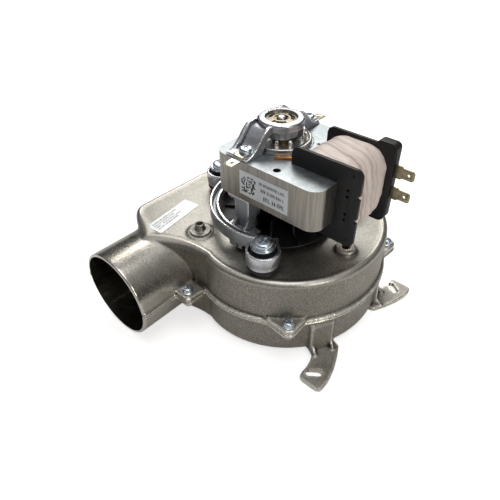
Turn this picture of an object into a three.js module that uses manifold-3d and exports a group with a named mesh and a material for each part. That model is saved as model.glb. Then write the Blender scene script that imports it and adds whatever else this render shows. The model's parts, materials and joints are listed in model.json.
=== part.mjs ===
// Combustion fan of a gas boiler: a cast scroll casing with a round outlet, a radial impeller on a vertical
// shaft, and a shaded-pole motor with a C-shaped stack, carried on three rubber mounts above the casing.
// Millimetres, +Z up. The shaft axis is the line x = 0, y = 0 while the fan is put together; the outlet
// blows towards -Y and the coil of the motor stands towards +X. At the end the whole fan is shifted, so
// that its origin is the middle of its bounding box, on the surface that it stands on.
import * as THREE from "three";
import { mergeVertices } from "three/addons/utils/BufferGeometryUtils.js";
import Module from "manifold-3d";

const wasm = await Module();
wasm.setup();
const radians = THREE.MathUtils.degToRad;

// ---- casing ----
const CASING_HEIGHT = 61;
const CASING_WALL = 2.5;
const SCROLL_START_R = 62;
const SCROLL_END_R = 83;
const SCROLL_START_ANGLE = radians(-97);
const SCROLL_POWER = 0.75;
const SCROLL_STEPS = 22;
const TOP_FILLET = 4;
const BOTTOM_FILLET = 8;
const CAVITY_FILLET = 3;
const LIP_REACH = 2.2;
const LIP_HEIGHT = 3.6;
const SEAM_Z = CASING_HEIGHT / 2;

// ---- outlet duct, cast half in each shell ----
const DUCT_WALL = 1.8;
const DUCT_DROP = 0.5;
const DUCT_STEP = 2.6;
const DUCT_R = CASING_HEIGHT / 2 - DUCT_DROP;
const DUCT_X = -SCROLL_END_R + DUCT_R + DUCT_STEP;
const DUCT_LENGTH = 25.5;
const NECK_DEPTH = 17;
const NECK_TIP_Y = -SCROLL_START_R - NECK_DEPTH;
const MOUTH_Y = NECK_TIP_Y - DUCT_LENGTH;
const NECK_CORNER_Y = NECK_TIP_Y + 27;

// ---- inlet ----
const INLET_R = 29.5;
const INLET_THROAT_R = 26.5;
const INLET_HEIGHT = 12;

// ---- ears and screws that hold the two shells together ----
const EAR_SIZE = 12;
const EAR_REACH = 5.5;
const EAR_ABOVE = 3.5;
const EAR_BELOW = 7;
const EAR_ANGLES = [-45, 45, 100, 150].map(radians);
const CASING_SCREW_R = 1.6;

// ---- feet ----
const FOOT_X = 72;
const FOOT_Y = 50;
const FOOT_THICKNESS = 3;
const FOOT_SLOT_LENGTH = 10.5;
const FOOT_SLOT_WIDTH = 4.7;
const FOOT_SLOT_ANGLE = radians(-37);

// ---- what stands on the top of the casing ----
const MOUNT_CIRCLE_R = 54.5;
const MOUNT_ANGLES = [180, -60, 60].map(radians);
const SPARE_BOSS_ANGLES = [0, 120].map(radians);
const NIPPLE_ANGLE = radians(-120);
const BOSS_R = 6.5;
const BOSS_HEIGHT = 3;
const SHAFT_HOLE_R = 5;

// ---- rubber mounts ----
const EYE_OUTER_R = 10.3;
const EYE_BORE_R = 8.5;
const EYE_LIFT = 3;
const EYE_HEIGHT = 9.7;
const MOUNT_SCREW_R = 2.5;
const SLEEVE_WALL = 1.3;

// ---- motor ----
const MOTOR_LIFT = 31.7;
const STACK_HEIGHT = 25.7;
const BORE_R = 20.3;
const AIR_GAP = 0.3;
const BORE_BRIDGE = 2.2;
const LEG_WIDTH = 17.2;
const WINDOW_LENGTH = 13;
const WINDOW_HALF = 18;
const BAR_WIDTH = 18;
const STACK_CORNER_R = 8;
const STACK_SCREW_X = -1.5;
const STACK_SCREW_INSET = 5.7;
const STACK_SCREW_R = 1.95;
const SPARE_HOLE_X = 21.5;
const RIVET_INSET = 2.9;
const RIVET_ANGLE = radians(28.3);

// ---- bearing brackets, one above and one below the stack ----
const HUB_R = 14;
const HUB_NECK_R = 12.5;
const HUB_FOOT = 4;
const HUB_TOP = 15.4;
const RECESS_R = 10;
const RECESS_DEPTH = 2.6;
const BEARING_R = 7.4;
const BEARING_LENGTH = 7.6;
const ARM_LEFT = -12.5;
const ARM_RIGHT = 4;
const ARM_PLATE = 2;
const PAD_THICKNESS = 2.4;
const POST_DEPTH = 5;
const RIM_INNER_R = 40;
const RIM_OUTER_R = 46;

// ---- shaft, rotor, impeller and cooling fan ----
const SHAFT_R = 3;
const SHAFT_END_R = 2.4;
const END_RING_R = 19;
const END_RING_HEIGHT = 3;
const PIN_CIRCLE_R = 15;
const PIN_COUNT = 12;
const IMPELLER_R = 54;
const IMPELLER_GAP = 4.5;
const SHEET = 1.2;
const BLADE_COUNT = 12;
const BLADE_LEAN = 8;
const HUB_BOSS_R = 8;
const COOLING_FAN_R = 38;
const COOLING_BLADE_R = 29;
const COOLING_BLADES = 12;

// ---- coil ----
const FLANGE_THICKNESS = 2;
const FLANGE_MARGIN_Z = 12.2;
const FLANGE_OVERHANG = 14.2;
const BOBBIN_WALL = 1.3;
const COIL_MARGIN = 1.1;
const COIL_CORNER_R = 15;
const BLOCK_DEPTH = 4.5;
const BLOCK_WIDTH = 13;
const BLOCK_RISE = 1.5;
const TAB_WIDTH = 6.3;
const TAB_THICKNESS = 0.8;
const TAB_PITCH = 14;

// ---- labels ----
const CASING_LABEL = [13.2, 39];

// ---- clearances ----
const FIT = 0.05;
const GAP = 0.1;

// ---- heights and places that follow from the sizes above ----
const PLATE_Z = CASING_HEIGHT;
const BOSS_TOP = PLATE_Z + BOSS_HEIGHT;
const EYE_BOTTOM = BOSS_TOP + EYE_LIFT;
const EYE_TOP = EYE_BOTTOM + EYE_HEIGHT;
const STACK_BOTTOM = PLATE_Z + MOTOR_LIFT;
const STACK_TOP = STACK_BOTTOM + STACK_HEIGHT;
const STACK_LEFT = -BORE_R - BORE_BRIDGE;
const WINDOW_LEFT = BORE_R + 2;
const BAR_LEFT = WINDOW_LEFT + WINDOW_LENGTH;
const STACK_RIGHT = BAR_LEFT + BAR_WIDTH;
const STACK_HALF = WINDOW_HALF + LEG_WIDTH;
const SCREW_Y = STACK_HALF - STACK_SCREW_INSET;
const SHAFT_TOP = STACK_TOP + HUB_TOP + 0.6;
const BACKPLATE_TOP = PLATE_Z - CASING_WALL - IMPELLER_GAP;
const BACKPLATE_BOTTOM = BACKPLATE_TOP - SHEET;
const HUB_BOTTOM = BACKPLATE_BOTTOM - 13;
const SHAFT_BOTTOM = HUB_BOTTOM - 7;
const SHROUD_EYE_Z = INLET_HEIGHT + 1.5;
const SHROUD_EYE_R = INLET_THROAT_R + 3.5;
const SHROUD_RISE = 8.5;
const FLANGE_LEFT = WINDOW_LEFT + 0.2;
const FLANGE_RIGHT = STACK_RIGHT + FLANGE_OVERHANG;
const FLANGE_BOTTOM = STACK_BOTTOM - FLANGE_MARGIN_Z;
const FLANGE_TOP = STACK_TOP + FLANGE_MARGIN_Z - 1.1;
const TAB_Y = WINDOW_HALF + BLOCK_DEPTH / 2;
const TAB_MIDDLE_Z = (STACK_BOTTOM + STACK_TOP) / 2 + 1.4;
const TERMINAL_HEIGHTS = [TAB_MIDDLE_Z + TAB_PITCH / 2, TAB_MIDDLE_Z - TAB_PITCH / 2];

// ---- boolean operations on three.js geometries ----

const toSolid = (geometry) => {
  const bare = geometry.clone();
  bare.deleteAttribute("normal");
  bare.deleteAttribute("uv");
  const merged = mergeVertices(bare, 1e-4);
  const vertProperties = merged.attributes.position.array;
  const triVerts = new Uint32Array(merged.index.array);
  return new wasm.Manifold(new wasm.Mesh({ numProp: 3, vertProperties, triVerts }));
};

const toGeometry = (solid) => {
  const { vertProperties, triVerts } = solid.getMesh();
  const geometry = new THREE.BufferGeometry();
  geometry.setAttribute("position", new THREE.BufferAttribute(vertProperties, 3));
  geometry.setIndex(new THREE.BufferAttribute(triVerts, 1));
  geometry.computeVertexNormals();
  return geometry;
};

const fuse = (...geometries) => toGeometry(geometries.map(toSolid).reduce((a, b) => a.add(b)));
const cut = (body, ...tools) => toGeometry([body, ...tools].map(toSolid).reduce((a, b) => a.subtract(b)));
const clip = (body, keeper) => toGeometry(toSolid(body).intersect(toSolid(keeper)));

// ---- plain solids ----

// A box between two corners.
const slab = (x0, x1, y0, y1, z0, z1) =>
  new THREE.BoxGeometry(x1 - x0, y1 - y0, z1 - z0).translate((x0 + x1) / 2, (y0 + y1) / 2, (z0 + z1) / 2);

// A flat outline in X and Y, from z0 up to z1.
const prism = (shape, z0, z1, curveSegments = 8) => {
  const depth = z1 - z0;
  return new THREE.ExtrudeGeometry(shape, { depth, bevelEnabled: false, curveSegments }).translate(0, 0, z0);
};

// An outline in Y and Z, from x0 to x1.
const sidePrism = (shape, x0, x1) => {
  const basis = new THREE.Matrix4().makeBasis(
    new THREE.Vector3(0, 1, 0),
    new THREE.Vector3(0, 0, 1),
    new THREE.Vector3(1, 0, 0),
  );
  return prism(shape, 0, x1 - x0).applyMatrix4(basis).translate(x0, 0, 0);
};

// An outline in X and Z, from y0 to y1.
const frontPrism = (shape, y0, y1, curveSegments = 8) =>
  prism(shape, 0, y1 - y0, curveSegments).rotateX(Math.PI / 2).translate(0, y1, 0);

// A profile of [radius, z] points turned about the Z axis. It runs up the outside and down the inside.
const turned = (profile, segments = 28) =>
  new THREE.LatheGeometry(profile.map(([r, z]) => new THREE.Vector2(r, z)), segments).rotateX(Math.PI / 2);

const rod = (radius, z0, z1, segments = 20) =>
  turned([[0, z0], [radius, z0], [radius, z1], [0, z1]], segments);

const collar = (inner, outer, z0, z1, segments = 24) =>
  turned([[inner, z0], [outer, z0], [outer, z1], [inner, z1], [inner, z0]], segments);

const polygon = (points) => new THREE.Shape(points.map(([x, y]) => new THREE.Vector2(x, y)));

// A rectangle with rounded corners.
function roundedRectangle(x0, x1, y0, y1, r) {
  const shape = new THREE.Shape();
  shape.moveTo(x0 + r, y0);
  shape.lineTo(x1 - r, y0);
  shape.absarc(x1 - r, y0 + r, r, -Math.PI / 2, 0);
  shape.lineTo(x1, y1 - r);
  shape.absarc(x1 - r, y1 - r, r, 0, Math.PI / 2);
  shape.lineTo(x0 + r, y1);
  shape.absarc(x0 + r, y1 - r, r, Math.PI / 2, Math.PI);
  shape.lineTo(x0, y0 + r);
  shape.absarc(x0 + r, y0 + r, r, Math.PI, 1.5 * Math.PI);
  return shape;
}

const circle = (x, y, r) => new THREE.Path().absarc(x, y, r, 0, 2 * Math.PI);
const onCircle = (radius, angle) => [radius * Math.cos(angle), radius * Math.sin(angle)];

// ---- casing ----

const wallRadius = (angle) => {
  const turn = (angle - SCROLL_START_ANGLE) / (Math.PI - SCROLL_START_ANGLE);
  return SCROLL_START_R + (SCROLL_END_R - SCROLL_START_R) * turn ** SCROLL_POWER;
};

// The outline of the casing seen from above, drawn inwards by a distance: the neck runs to a tip over the
// crest of the duct, then the scroll opens counterclockwise from the tongue to the straight left wall.
function casingOutline(inset) {
  const shape = new THREE.Shape();
  const tipY = NECK_TIP_Y + 2 * inset;
  const left = -SCROLL_END_R + inset;
  const [startX, startY] = onCircle(wallRadius(SCROLL_START_ANGLE) - inset, SCROLL_START_ANGLE);
  shape.moveTo(DUCT_X, tipY);
  shape.bezierCurveTo(DUCT_X + 10.4, tipY + 8.5, startX - 20, startY + 0.5, startX, startY);
  for (let step = 1; step <= SCROLL_STEPS; step++) {
    const angle = THREE.MathUtils.lerp(SCROLL_START_ANGLE, Math.PI, step / SCROLL_STEPS);
    shape.lineTo(...onCircle(wallRadius(angle) - inset, angle));
  }
  shape.lineTo(left, NECK_CORNER_Y);
  shape.bezierCurveTo(left, NECK_CORNER_Y - 12, DUCT_X - 13.6, tipY + 11, DUCT_X, tipY);
  return shape;
}

// The outline as a solid between two heights, with its edges rounded.
const roundedCasing = (inset, z0, z1, fillet, bevelSegments = 2) =>
  new THREE.ExtrudeGeometry(casingOutline(inset), {
    depth: z1 - z0 - 2 * fillet,
    bevelThickness: fillet,
    bevelSize: fillet,
    bevelOffset: -fillet,
    bevelSegments,
    curveSegments: 6,
  }).translate(0, 0, z0 + fillet);

const ductRod = (radius, y0, y1) =>
  new THREE.CylinderGeometry(radius, radius, y1 - y0, 32).translate(DUCT_X, (y0 + y1) / 2, SEAM_Z);

const earPlaces = [
  [DUCT_X + DUCT_R + 5.4, NECK_TIP_Y + 6],
  ...EAR_ANGLES.map((angle) => onCircle(wallRadius(angle) + EAR_REACH, angle)),
  [-SCROLL_END_R - EAR_REACH, NECK_CORNER_Y + 10],
];

const bossPlaces = [...MOUNT_ANGLES, ...SPARE_BOSS_ANGLES].map((angle) => onCircle(MOUNT_CIRCLE_R, angle));
const mountPlaces = MOUNT_ANGLES.map((angle) => onCircle(MOUNT_CIRCLE_R, angle));
const nipplePlace = onCircle(MOUNT_CIRCLE_R, NIPPLE_ANGLE);

const ears = (z0, z1) =>
  earPlaces.map(([x, y]) => {
    const half = EAR_SIZE / 2;
    return prism(roundedRectangle(x - half, x + half, y - half, y + half, 2), z0, z1, 2);
  });

// What both shells are cut with: the scroll chamber and the bore of the duct, open at its mouth.
const chamber = () =>
  fuse(
    roundedCasing(CASING_WALL, CASING_WALL, CASING_HEIGHT - CASING_WALL, CAVITY_FILLET, 1),
    ductRod(DUCT_R - DUCT_WALL, MOUTH_Y - 1, NECK_TIP_Y + 20),
  );

const seamLip = () => {
  const half = LIP_HEIGHT / 2;
  const rib = (x) => slab(x - 1.4, x + 1.4, MOUTH_Y, NECK_TIP_Y + 15, SEAM_Z - half, SEAM_Z + half);
  const lip = prism(casingOutline(-LIP_REACH), SEAM_Z - half, SEAM_Z + half, 6);
  return fuse(lip, rib(DUCT_X - DUCT_R), rib(DUCT_X + DUCT_R));
};

const halfSpace = (z0, z1) => slab(-300, 300, -300, 300, z0, z1);

function upperCasing() {
  const shell = fuse(
    roundedCasing(0, 0, CASING_HEIGHT, TOP_FILLET),
    ductRod(DUCT_R, MOUTH_Y, NECK_TIP_Y + 20),
    seamLip(),
    ...ears(SEAM_Z - 1, SEAM_Z + EAR_ABOVE),
  );
  const bosses = bossPlaces.map(([x, y]) => rod(BOSS_R, PLATE_Z - 1, BOSS_TOP, 16).translate(x, y, 0));
  const nippleSeat = rod(8.5, PLATE_Z - 1, PLATE_Z + 1, 24).translate(...nipplePlace, 0);
  const bored = [
    ...bossPlaces.map(([x, y]) => rod(MOUNT_SCREW_R + GAP, PLATE_Z - 5, BOSS_TOP + 1, 12).translate(x, y, 0)),
    ...earPlaces.map(([x, y]) => rod(CASING_SCREW_R + GAP, 0, CASING_HEIGHT, 10).translate(x, y, 0)),
    rod(1.6, PLATE_Z - 5, PLATE_Z + 2, 16).translate(...nipplePlace, 0),
    rod(SHAFT_HOLE_R, PLATE_Z - 5, PLATE_Z + 1),
  ];
  const raised = fuse(cut(shell, chamber()), ...bosses, nippleSeat);
  return clip(cut(raised, ...bored), halfSpace(SEAM_Z + FIT / 2, 2 * CASING_HEIGHT));
}

// The outline of a foot about the middle of its slot; sx and sy turn it to its corner of the casing.
function footShape(sx, sy) {
  const shape = new THREE.Shape();
  const at = (x, y) => [sx * (FOOT_X + x), sy * (FOOT_Y + y)];
  shape.moveTo(...at(-17, -22));
  shape.lineTo(...at(-11, -13));
  shape.quadraticCurveTo(...at(-6, -7), ...at(-6, 4.5));
  shape.quadraticCurveTo(...at(-6, 8.5), ...at(-2, 8.5));
  shape.lineTo(...at(6, 8.5));
  shape.quadraticCurveTo(...at(10.5, 8.5), ...at(10.5, 4));
  shape.quadraticCurveTo(...at(10, -10), ...at(0, -28));
  shape.lineTo(...at(-12, -32));
  return shape;
}

function footSlot(sx, sy) {
  const reach = FOOT_SLOT_LENGTH / 2;
  const half = FOOT_SLOT_WIDTH / 2;
  const slot = roundedRectangle(-reach, reach, -half, half, half - 0.01);
  return prism(slot, -1, FOOT_THICKNESS + 1, 5)
    .rotateZ(sx * sy * FOOT_SLOT_ANGLE)
    .translate(sx * FOOT_X, sy * FOOT_Y, 0);
}

// A block with a sloping face that stiffens the wall above the root of a foot.
function footButtress(sx, sy) {
  const angle = Math.atan2(sy * (FOOT_Y - 18), sx * (FOOT_X - 6));
  const wall = sx > 0 ? wallRadius(angle) : SCROLL_END_R - 2;
  const outline = polygon([
    [wall - 12, 1],
    [wall + 2.5, 1],
    [wall + 2, 7],
    [wall - 0.5, 19],
    [wall - 12, 19],
  ]);
  return frontPrism(outline, -9, 9).rotateZ(angle);
}

const footCorners = [[1, -1], [1, 1], [-1, 1]];

function lowerCasing() {
  const feet = footCorners.map(([sx, sy]) => prism(footShape(sx, sy), 0, FOOT_THICKNESS));
  const buttresses = footCorners.map(([sx, sy]) => footButtress(sx, sy));
  const shell = fuse(
    roundedCasing(0, 0, CASING_HEIGHT, BOTTOM_FILLET),
    ductRod(DUCT_R, MOUTH_Y, NECK_TIP_Y + 20),
    seamLip(),
    ...ears(SEAM_Z - EAR_BELOW, SEAM_Z + 1),
    ...feet,
    ...buttresses,
  );
  const bellmouth = turned([
    [INLET_R, 0],
    [INLET_R + 6, 0],
    [INLET_R + 6, CASING_WALL],
    [INLET_R + 1, CASING_WALL],
    [INLET_THROAT_R + 2, INLET_HEIGHT],
    [INLET_THROAT_R, INLET_HEIGHT],
    [INLET_THROAT_R + 0.5, INLET_HEIGHT / 2],
    [INLET_R, 0],
  ], 32);
  const bored = [
    rod(INLET_R + 3, -1, INLET_HEIGHT, 32),
    ...footCorners.map(([sx, sy]) => footSlot(sx, sy)),
    ...earPlaces.map(([x, y]) => rod(CASING_SCREW_R + GAP, 0, CASING_HEIGHT, 10).translate(x, y, 0)),
  ];
  const hollow = fuse(cut(shell, chamber(), ...bored), bellmouth);
  return clip(hollow, halfSpace(-1, SEAM_Z - FIT / 2));
}

// ---- screws ----

// A screw with its head's underside at z = 0: an optional flange, a domed head with a cross, and a shank.
function screw(shankR, shankLength, headR, headHeight, flangeR = 0, flangeHeight = 0) {
  const flange = [[flangeR, 0], [flangeR, flangeHeight * 0.7], [headR, flangeHeight]];
  const base = flangeR > 0 ? flange : [[headR, 0]];
  const top = flangeHeight + headHeight;
  const body = turned([
    [0, -shankLength],
    [shankR, -shankLength],
    [shankR, 0],
    ...base,
    [headR, top - headHeight * 0.4],
    [headR * 0.7, top],
    [0, top],
  ], 14);
  const arm = headR * 0.55;
  const deep = top - headHeight * 0.55;
  return cut(body, slab(-arm, arm, -0.5, 0.5, deep, top + 1), slab(-0.5, 0.5, -arm, arm, deep, top + 1));
}

const casingScrew = () => screw(CASING_SCREW_R, EAR_ABOVE + EAR_BELOW - 1, 4.1, 2.8);
const stackScrew = () => screw(STACK_SCREW_R, STACK_HEIGHT + PAD_THICKNESS + TAB_THICKNESS + 10, 4, 3);
const mountScrew = () => screw(MOUNT_SCREW_R, EYE_TOP - PLATE_Z + 6, 5.2, 4, 7, 1.6);

// ---- small pieces on the casing ----

const pressureNipple = () =>
  turned([[1.5, 0], [7, 0], [7, 1.2], [4.4, 1.6], [2.8, 2.2], [2.8, 5.6], [2.4, 6], [1.5, 6], [1.5, 0]], 18);

const shaftSeal = () => collar(SHAFT_R + 0.2, 10, PLATE_Z + FIT, PLATE_Z + 1.1);

const label = (width, height) => slab(-width / 2, width / 2, -height / 2, height / 2, 0, 0.25);

// ---- impeller ----

function impellerWheel() {
  // How far along a leaning blade its outer face reaches a radius.
  const along = (radius) => Math.sqrt(radius ** 2 - (BLADE_LEAN + SHEET) ** 2);
  const eyeZ = SHROUD_EYE_Z + SHEET + 2 * GAP;
  const blade = polygon([
    [SHROUD_EYE_R - 5, eyeZ],
    [along(SHROUD_EYE_R), eyeZ],
    [along(IMPELLER_R), eyeZ + SHROUD_RISE],
    [along(IMPELLER_R), BACKPLATE_BOTTOM + 0.3],
    [SHROUD_EYE_R - 9, BACKPLATE_BOTTOM + 0.3],
  ]);
  const blades = Array.from({ length: BLADE_COUNT }, (_, i) =>
    frontPrism(blade, BLADE_LEAN, BLADE_LEAN + SHEET).rotateZ((i * 2 * Math.PI) / BLADE_COUNT),
  );
  return fuse(collar(HUB_BOSS_R + 0.5 + FIT, IMPELLER_R, BACKPLATE_BOTTOM, BACKPLATE_TOP, 36), ...blades);
}

// The ring that closes the blades on the inlet side, rising outwards.
const impellerShroud = () =>
  turned([
    [SHROUD_EYE_R, SHROUD_EYE_Z - 2],
    [SHROUD_EYE_R + SHEET, SHROUD_EYE_Z - 2],
    [SHROUD_EYE_R + SHEET, SHROUD_EYE_Z],
    [IMPELLER_R, SHROUD_EYE_Z + SHROUD_RISE],
    [IMPELLER_R, SHROUD_EYE_Z + SHROUD_RISE + SHEET],
    [SHROUD_EYE_R, SHROUD_EYE_Z + SHEET],
    [SHROUD_EYE_R, SHROUD_EYE_Z - 2],
  ], 36);

const impellerHub = () =>
  turned([
    [SHAFT_R + FIT, HUB_BOTTOM],
    [HUB_BOSS_R, HUB_BOTTOM],
    [HUB_BOSS_R, BACKPLATE_BOTTOM - 2 - GAP],
    [15, BACKPLATE_BOTTOM - 2 - GAP],
    [15, BACKPLATE_BOTTOM - GAP],
    [HUB_BOSS_R + 0.5, BACKPLATE_BOTTOM - GAP],
    [HUB_BOSS_R + 0.5, BACKPLATE_TOP + 1.5],
    [SHAFT_R + FIT, BACKPLATE_TOP + 1.5],
    [SHAFT_R + FIT, HUB_BOTTOM],
  ]);

const impellerWasher = () => collar(SHAFT_END_R + GAP, 6, HUB_BOTTOM - 1.3, HUB_BOTTOM - GAP, 24);

const impellerNut = () => {
  const hexagon = new THREE.CylinderGeometry(4.6, 4.6, 4, 6).rotateX(Math.PI / 2);
  return cut(hexagon.translate(0, 0, HUB_BOTTOM - 3.4), rod(SHAFT_END_R + FIT, HUB_BOTTOM - 8, HUB_BOTTOM));
};

// ---- shaft, rotor and cooling fan ----

const shaft = () =>
  turned([
    [0, SHAFT_BOTTOM],
    [SHAFT_END_R, SHAFT_BOTTOM],
    [SHAFT_END_R, HUB_BOTTOM + 0.2],
    [SHAFT_R, HUB_BOTTOM + 0.2],
    [SHAFT_R, SHAFT_TOP - 1.2],
    [SHAFT_R * 0.8, SHAFT_TOP - 0.4],
    [0, SHAFT_TOP],
  ], 20);

const rotorCore = () => collar(SHAFT_R + FIT, BORE_R - AIR_GAP, STACK_BOTTOM, STACK_TOP, 40);

// The cast ring that closes the rotor cage, seen as the upper one, from the face of the rotor at z = 0.
function endRing() {
  const ring = turned([
    [9, FIT],
    [END_RING_R, FIT],
    [END_RING_R, END_RING_HEIGHT - 0.3],
    [END_RING_R - 1.2, END_RING_HEIGHT],
    [PIN_CIRCLE_R - 2, END_RING_HEIGHT - 1.2],
    [9, END_RING_HEIGHT - 1.2],
    [9, FIT],
  ], 32);
  const pins = Array.from({ length: PIN_COUNT }, (_, i) =>
    slab(PIN_CIRCLE_R - 0.8, PIN_CIRCLE_R + 0.8, -1.1, 1.1, 1, 7).rotateZ((i * 2 * Math.PI) / PIN_COUNT),
  );
  return fuse(ring, ...pins);
}

const rotorSpacer = () => collar(SHAFT_R + FIT, 5.5, FIT, HUB_FOOT - GAP, 24);

function coolingFan() {
  const discZ = PLATE_Z + 2.2;
  const bladeTop = STACK_BOTTOM - HUB_TOP - 1;
  const hub = collar(SHAFT_R + FIT, 7, discZ, bladeTop, 24);
  const disc = collar(SHAFT_R + FIT, COOLING_FAN_R, discZ, discZ + 1.5, 36);
  const blade = polygon([
    [6, discZ + 1],
    [COOLING_FAN_R - 0.5, discZ + 1],
    [COOLING_FAN_R - 0.5, discZ + 3.2],
    [COOLING_BLADE_R, discZ + 3.2],
    [COOLING_BLADE_R - 2, bladeTop],
    [6, bladeTop],
  ]);
  const blades = Array.from({ length: COOLING_BLADES }, (_, i) =>
    frontPrism(blade, -0.7, 0.7).rotateZ((i * 2 * Math.PI) / COOLING_BLADES),
  );
  return fuse(hub, disc, ...blades);
}

// ---- bearings and their brackets ----
// Each of these is made as the upper one, with the face of the stack at z = 0.

const seatTop = HUB_TOP - RECESS_DEPTH;

const bearing = () => {
  const z0 = seatTop - BEARING_LENGTH - 0.2;
  return turned([
    [SHAFT_R + FIT, z0],
    [BEARING_R - 1.6, z0],
    [BEARING_R, z0 + 2.6],
    [BEARING_R, z0 + BEARING_LENGTH - 2.6],
    [BEARING_R - 1.6, z0 + BEARING_LENGTH],
    [SHAFT_R + FIT, z0 + BEARING_LENGTH],
    [SHAFT_R + FIT, z0],
  ], 20);
};

// The spring washer over the bearing, with three windows.
function bearingRetainer() {
  const washer = new THREE.Shape().absarc(0, 0, RECESS_R - GAP, 0, 2 * Math.PI);
  washer.holes.push(circle(0, 0, SHAFT_R + 1.3));
  for (let i = 0; i < 3; i++) {
    const from = (i * 2 * Math.PI) / 3 + 0.35;
    const window = new THREE.Path().absarc(0, 0, 8.2, from, from + 1.35);
    window.absarc(0, 0, 5.6, from + 1.35, from, true);
    washer.holes.push(window);
  }
  return prism(washer, seatTop + 0.5, seatTop + 1.3, 7);
}

function bearingBridge() {
  const toStack = [[STACK_HALF, 0], [STACK_HALF, 0.8], [32, 1.6], [28, 3]];
  const edge = [...toStack, [23.5, 5], [19.5, 8.8], [15.5, 12.6], [12, 13.4]];
  const under = [[12, 9.8], [16.5, 8], [18.8, 5], [21, 1.5], [21.5, 0]];
  const pad = [[STACK_HALF, 0], [STACK_HALF, PAD_THICKNESS], [25, PAD_THICKNESS]];
  const floor = [...pad, [19, 8.4], [15.5, 11.6], [12, 12.4]];
  const neck = [[0, HUB_FOOT], [HUB_NECK_R, HUB_FOOT], [HUB_NECK_R, 9], [HUB_R, 10]];
  const hub = [...neck, [HUB_R, HUB_TOP], [0, HUB_TOP]];
  const reflected = (points) => points.map(([y, z]) => [-y, z]).reverse();
  const arch = (outer) => polygon([...outer, ...reflected(outer), ...reflected(under), ...under]);
  return fuse(
    sidePrism(arch(edge), ARM_LEFT, ARM_LEFT + ARM_PLATE),
    sidePrism(arch(edge), ARM_RIGHT - ARM_PLATE, ARM_RIGHT),
    sidePrism(arch(floor), ARM_LEFT + 1, ARM_RIGHT - 1),
    turned(hub, 28),
  );
}

// What a bracket is bored with: the recess, the seat of the bearing, and the holes for the stack screws.
const bracketBores = () => [
  rod(RECESS_R, seatTop, HUB_TOP + 1, 28),
  rod(BEARING_R + 0.2, seatTop - BEARING_LENGTH - 0.4, seatTop + 0.01, 24),
  rod(5.2, HUB_FOOT - 1, seatTop),
  ...[-1, 1].map((side) => rod(STACK_SCREW_R + GAP, -1, 12, 16).translate(STACK_SCREW_X, side * SCREW_Y, 0)),
];

const upperBracket = () => cut(bearingBridge(), ...bracketBores());

// The lower bracket also carries the motor: two posts run down to a rim with three eyes. The rim is open
// on the side of the coil.
function lowerBracket() {
  const bridge = bearingBridge().rotateX(Math.PI).translate(0, 0, STACK_BOTTOM);
  const bores = bracketBores().map((bore) => bore.rotateX(Math.PI).translate(0, 0, STACK_BOTTOM));
  const rim = turned([
    [RIM_INNER_R, EYE_BOTTOM + 3],
    [RIM_OUTER_R - 2, EYE_BOTTOM + 3],
    [RIM_OUTER_R - 2, EYE_BOTTOM + 0.5],
    [RIM_OUTER_R, EYE_BOTTOM + 0.5],
    [RIM_OUTER_R, EYE_TOP],
    [RIM_OUTER_R - 1.4, EYE_TOP],
    [RIM_OUTER_R - 1.4, EYE_BOTTOM + 5.2],
    [RIM_INNER_R + 1.3, EYE_BOTTOM + 5.2],
    [RIM_INNER_R + 1.3, EYE_TOP - 1.7],
    [RIM_INNER_R, EYE_TOP - 1.7],
    [RIM_INNER_R, EYE_BOTTOM + 3],
  ], 32);
  const open = MOUNT_ANGLES[2] + 0.06;
  const openSide = polygon([[0, 0], onCircle(200, -open), [400, 0], onCircle(200, open)]);
  const arc = cut(rim, prism(openSide, 0, 2 * EYE_TOP));
  const eyes = mountPlaces.map(([x, y]) => rod(EYE_OUTER_R, EYE_BOTTOM, EYE_TOP, 20).translate(x, y, 0));
  const necks = MOUNT_ANGLES.map((angle) =>
    slab(RIM_INNER_R + 1, MOUNT_CIRCLE_R - 4, -7, 7, EYE_BOTTOM + 1, EYE_TOP - 1.5).rotateZ(angle),
  );
  const left = STACK_SCREW_X - 5;
  const right = STACK_SCREW_X + 6.5;
  const posts = [-1, 1].flatMap((side) => {
    const span = (a, b) => [Math.min(side * a, side * b), Math.max(side * a, side * b)];
    const outside = span(STACK_HALF - POST_DEPTH, STACK_HALF);
    const toRim = span(STACK_HALF - POST_DEPTH, RIM_INNER_R + 3);
    return [
      slab(left, right, ...span(STACK_HALF - 11, STACK_HALF), STACK_BOTTOM - 14, STACK_BOTTOM),
      slab(left, right, ...outside, EYE_BOTTOM + 1, STACK_BOTTOM - 13),
      slab(left - 4, right + 6, ...toRim, EYE_BOTTOM + 2.9, EYE_BOTTOM + 5.3),
    ];
  });
  const eyeBores = mountPlaces.map(([x, y]) => rod(EYE_BORE_R, 0, EYE_TOP + 1, 24).translate(x, y, 0));
  return cut(fuse(bridge, arc, ...eyes, ...necks, ...posts), ...bores, ...eyeBores);
}

// ---- rubber mounts ----

const rubberMount = () => {
  const bore = MOUNT_SCREW_R + SLEEVE_WALL + 2 * GAP + FIT;
  return turned([
    [bore, BOSS_TOP + FIT],
    [EYE_BORE_R + 1.3, BOSS_TOP + FIT],
    [EYE_BORE_R + 1.3, EYE_BOTTOM - GAP],
    [EYE_BORE_R - GAP, EYE_BOTTOM - GAP],
    [EYE_BORE_R - GAP, EYE_TOP - 0.5],
    [EYE_BORE_R - 1.2, EYE_TOP + 2],
    [bore, EYE_TOP + 2],
    [bore, BOSS_TOP + FIT],
  ], 24);
};

const mountSleeve = () =>
  collar(MOUNT_SCREW_R + GAP, MOUNT_SCREW_R + SLEEVE_WALL + GAP, BOSS_TOP + FIT, EYE_TOP + 2.2, 16);

// ---- stator ----

const shadingEnds = [onCircle(BORE_R + 2.7, radians(-57)), onCircle(BORE_R + 4, radians(-35))];

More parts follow.
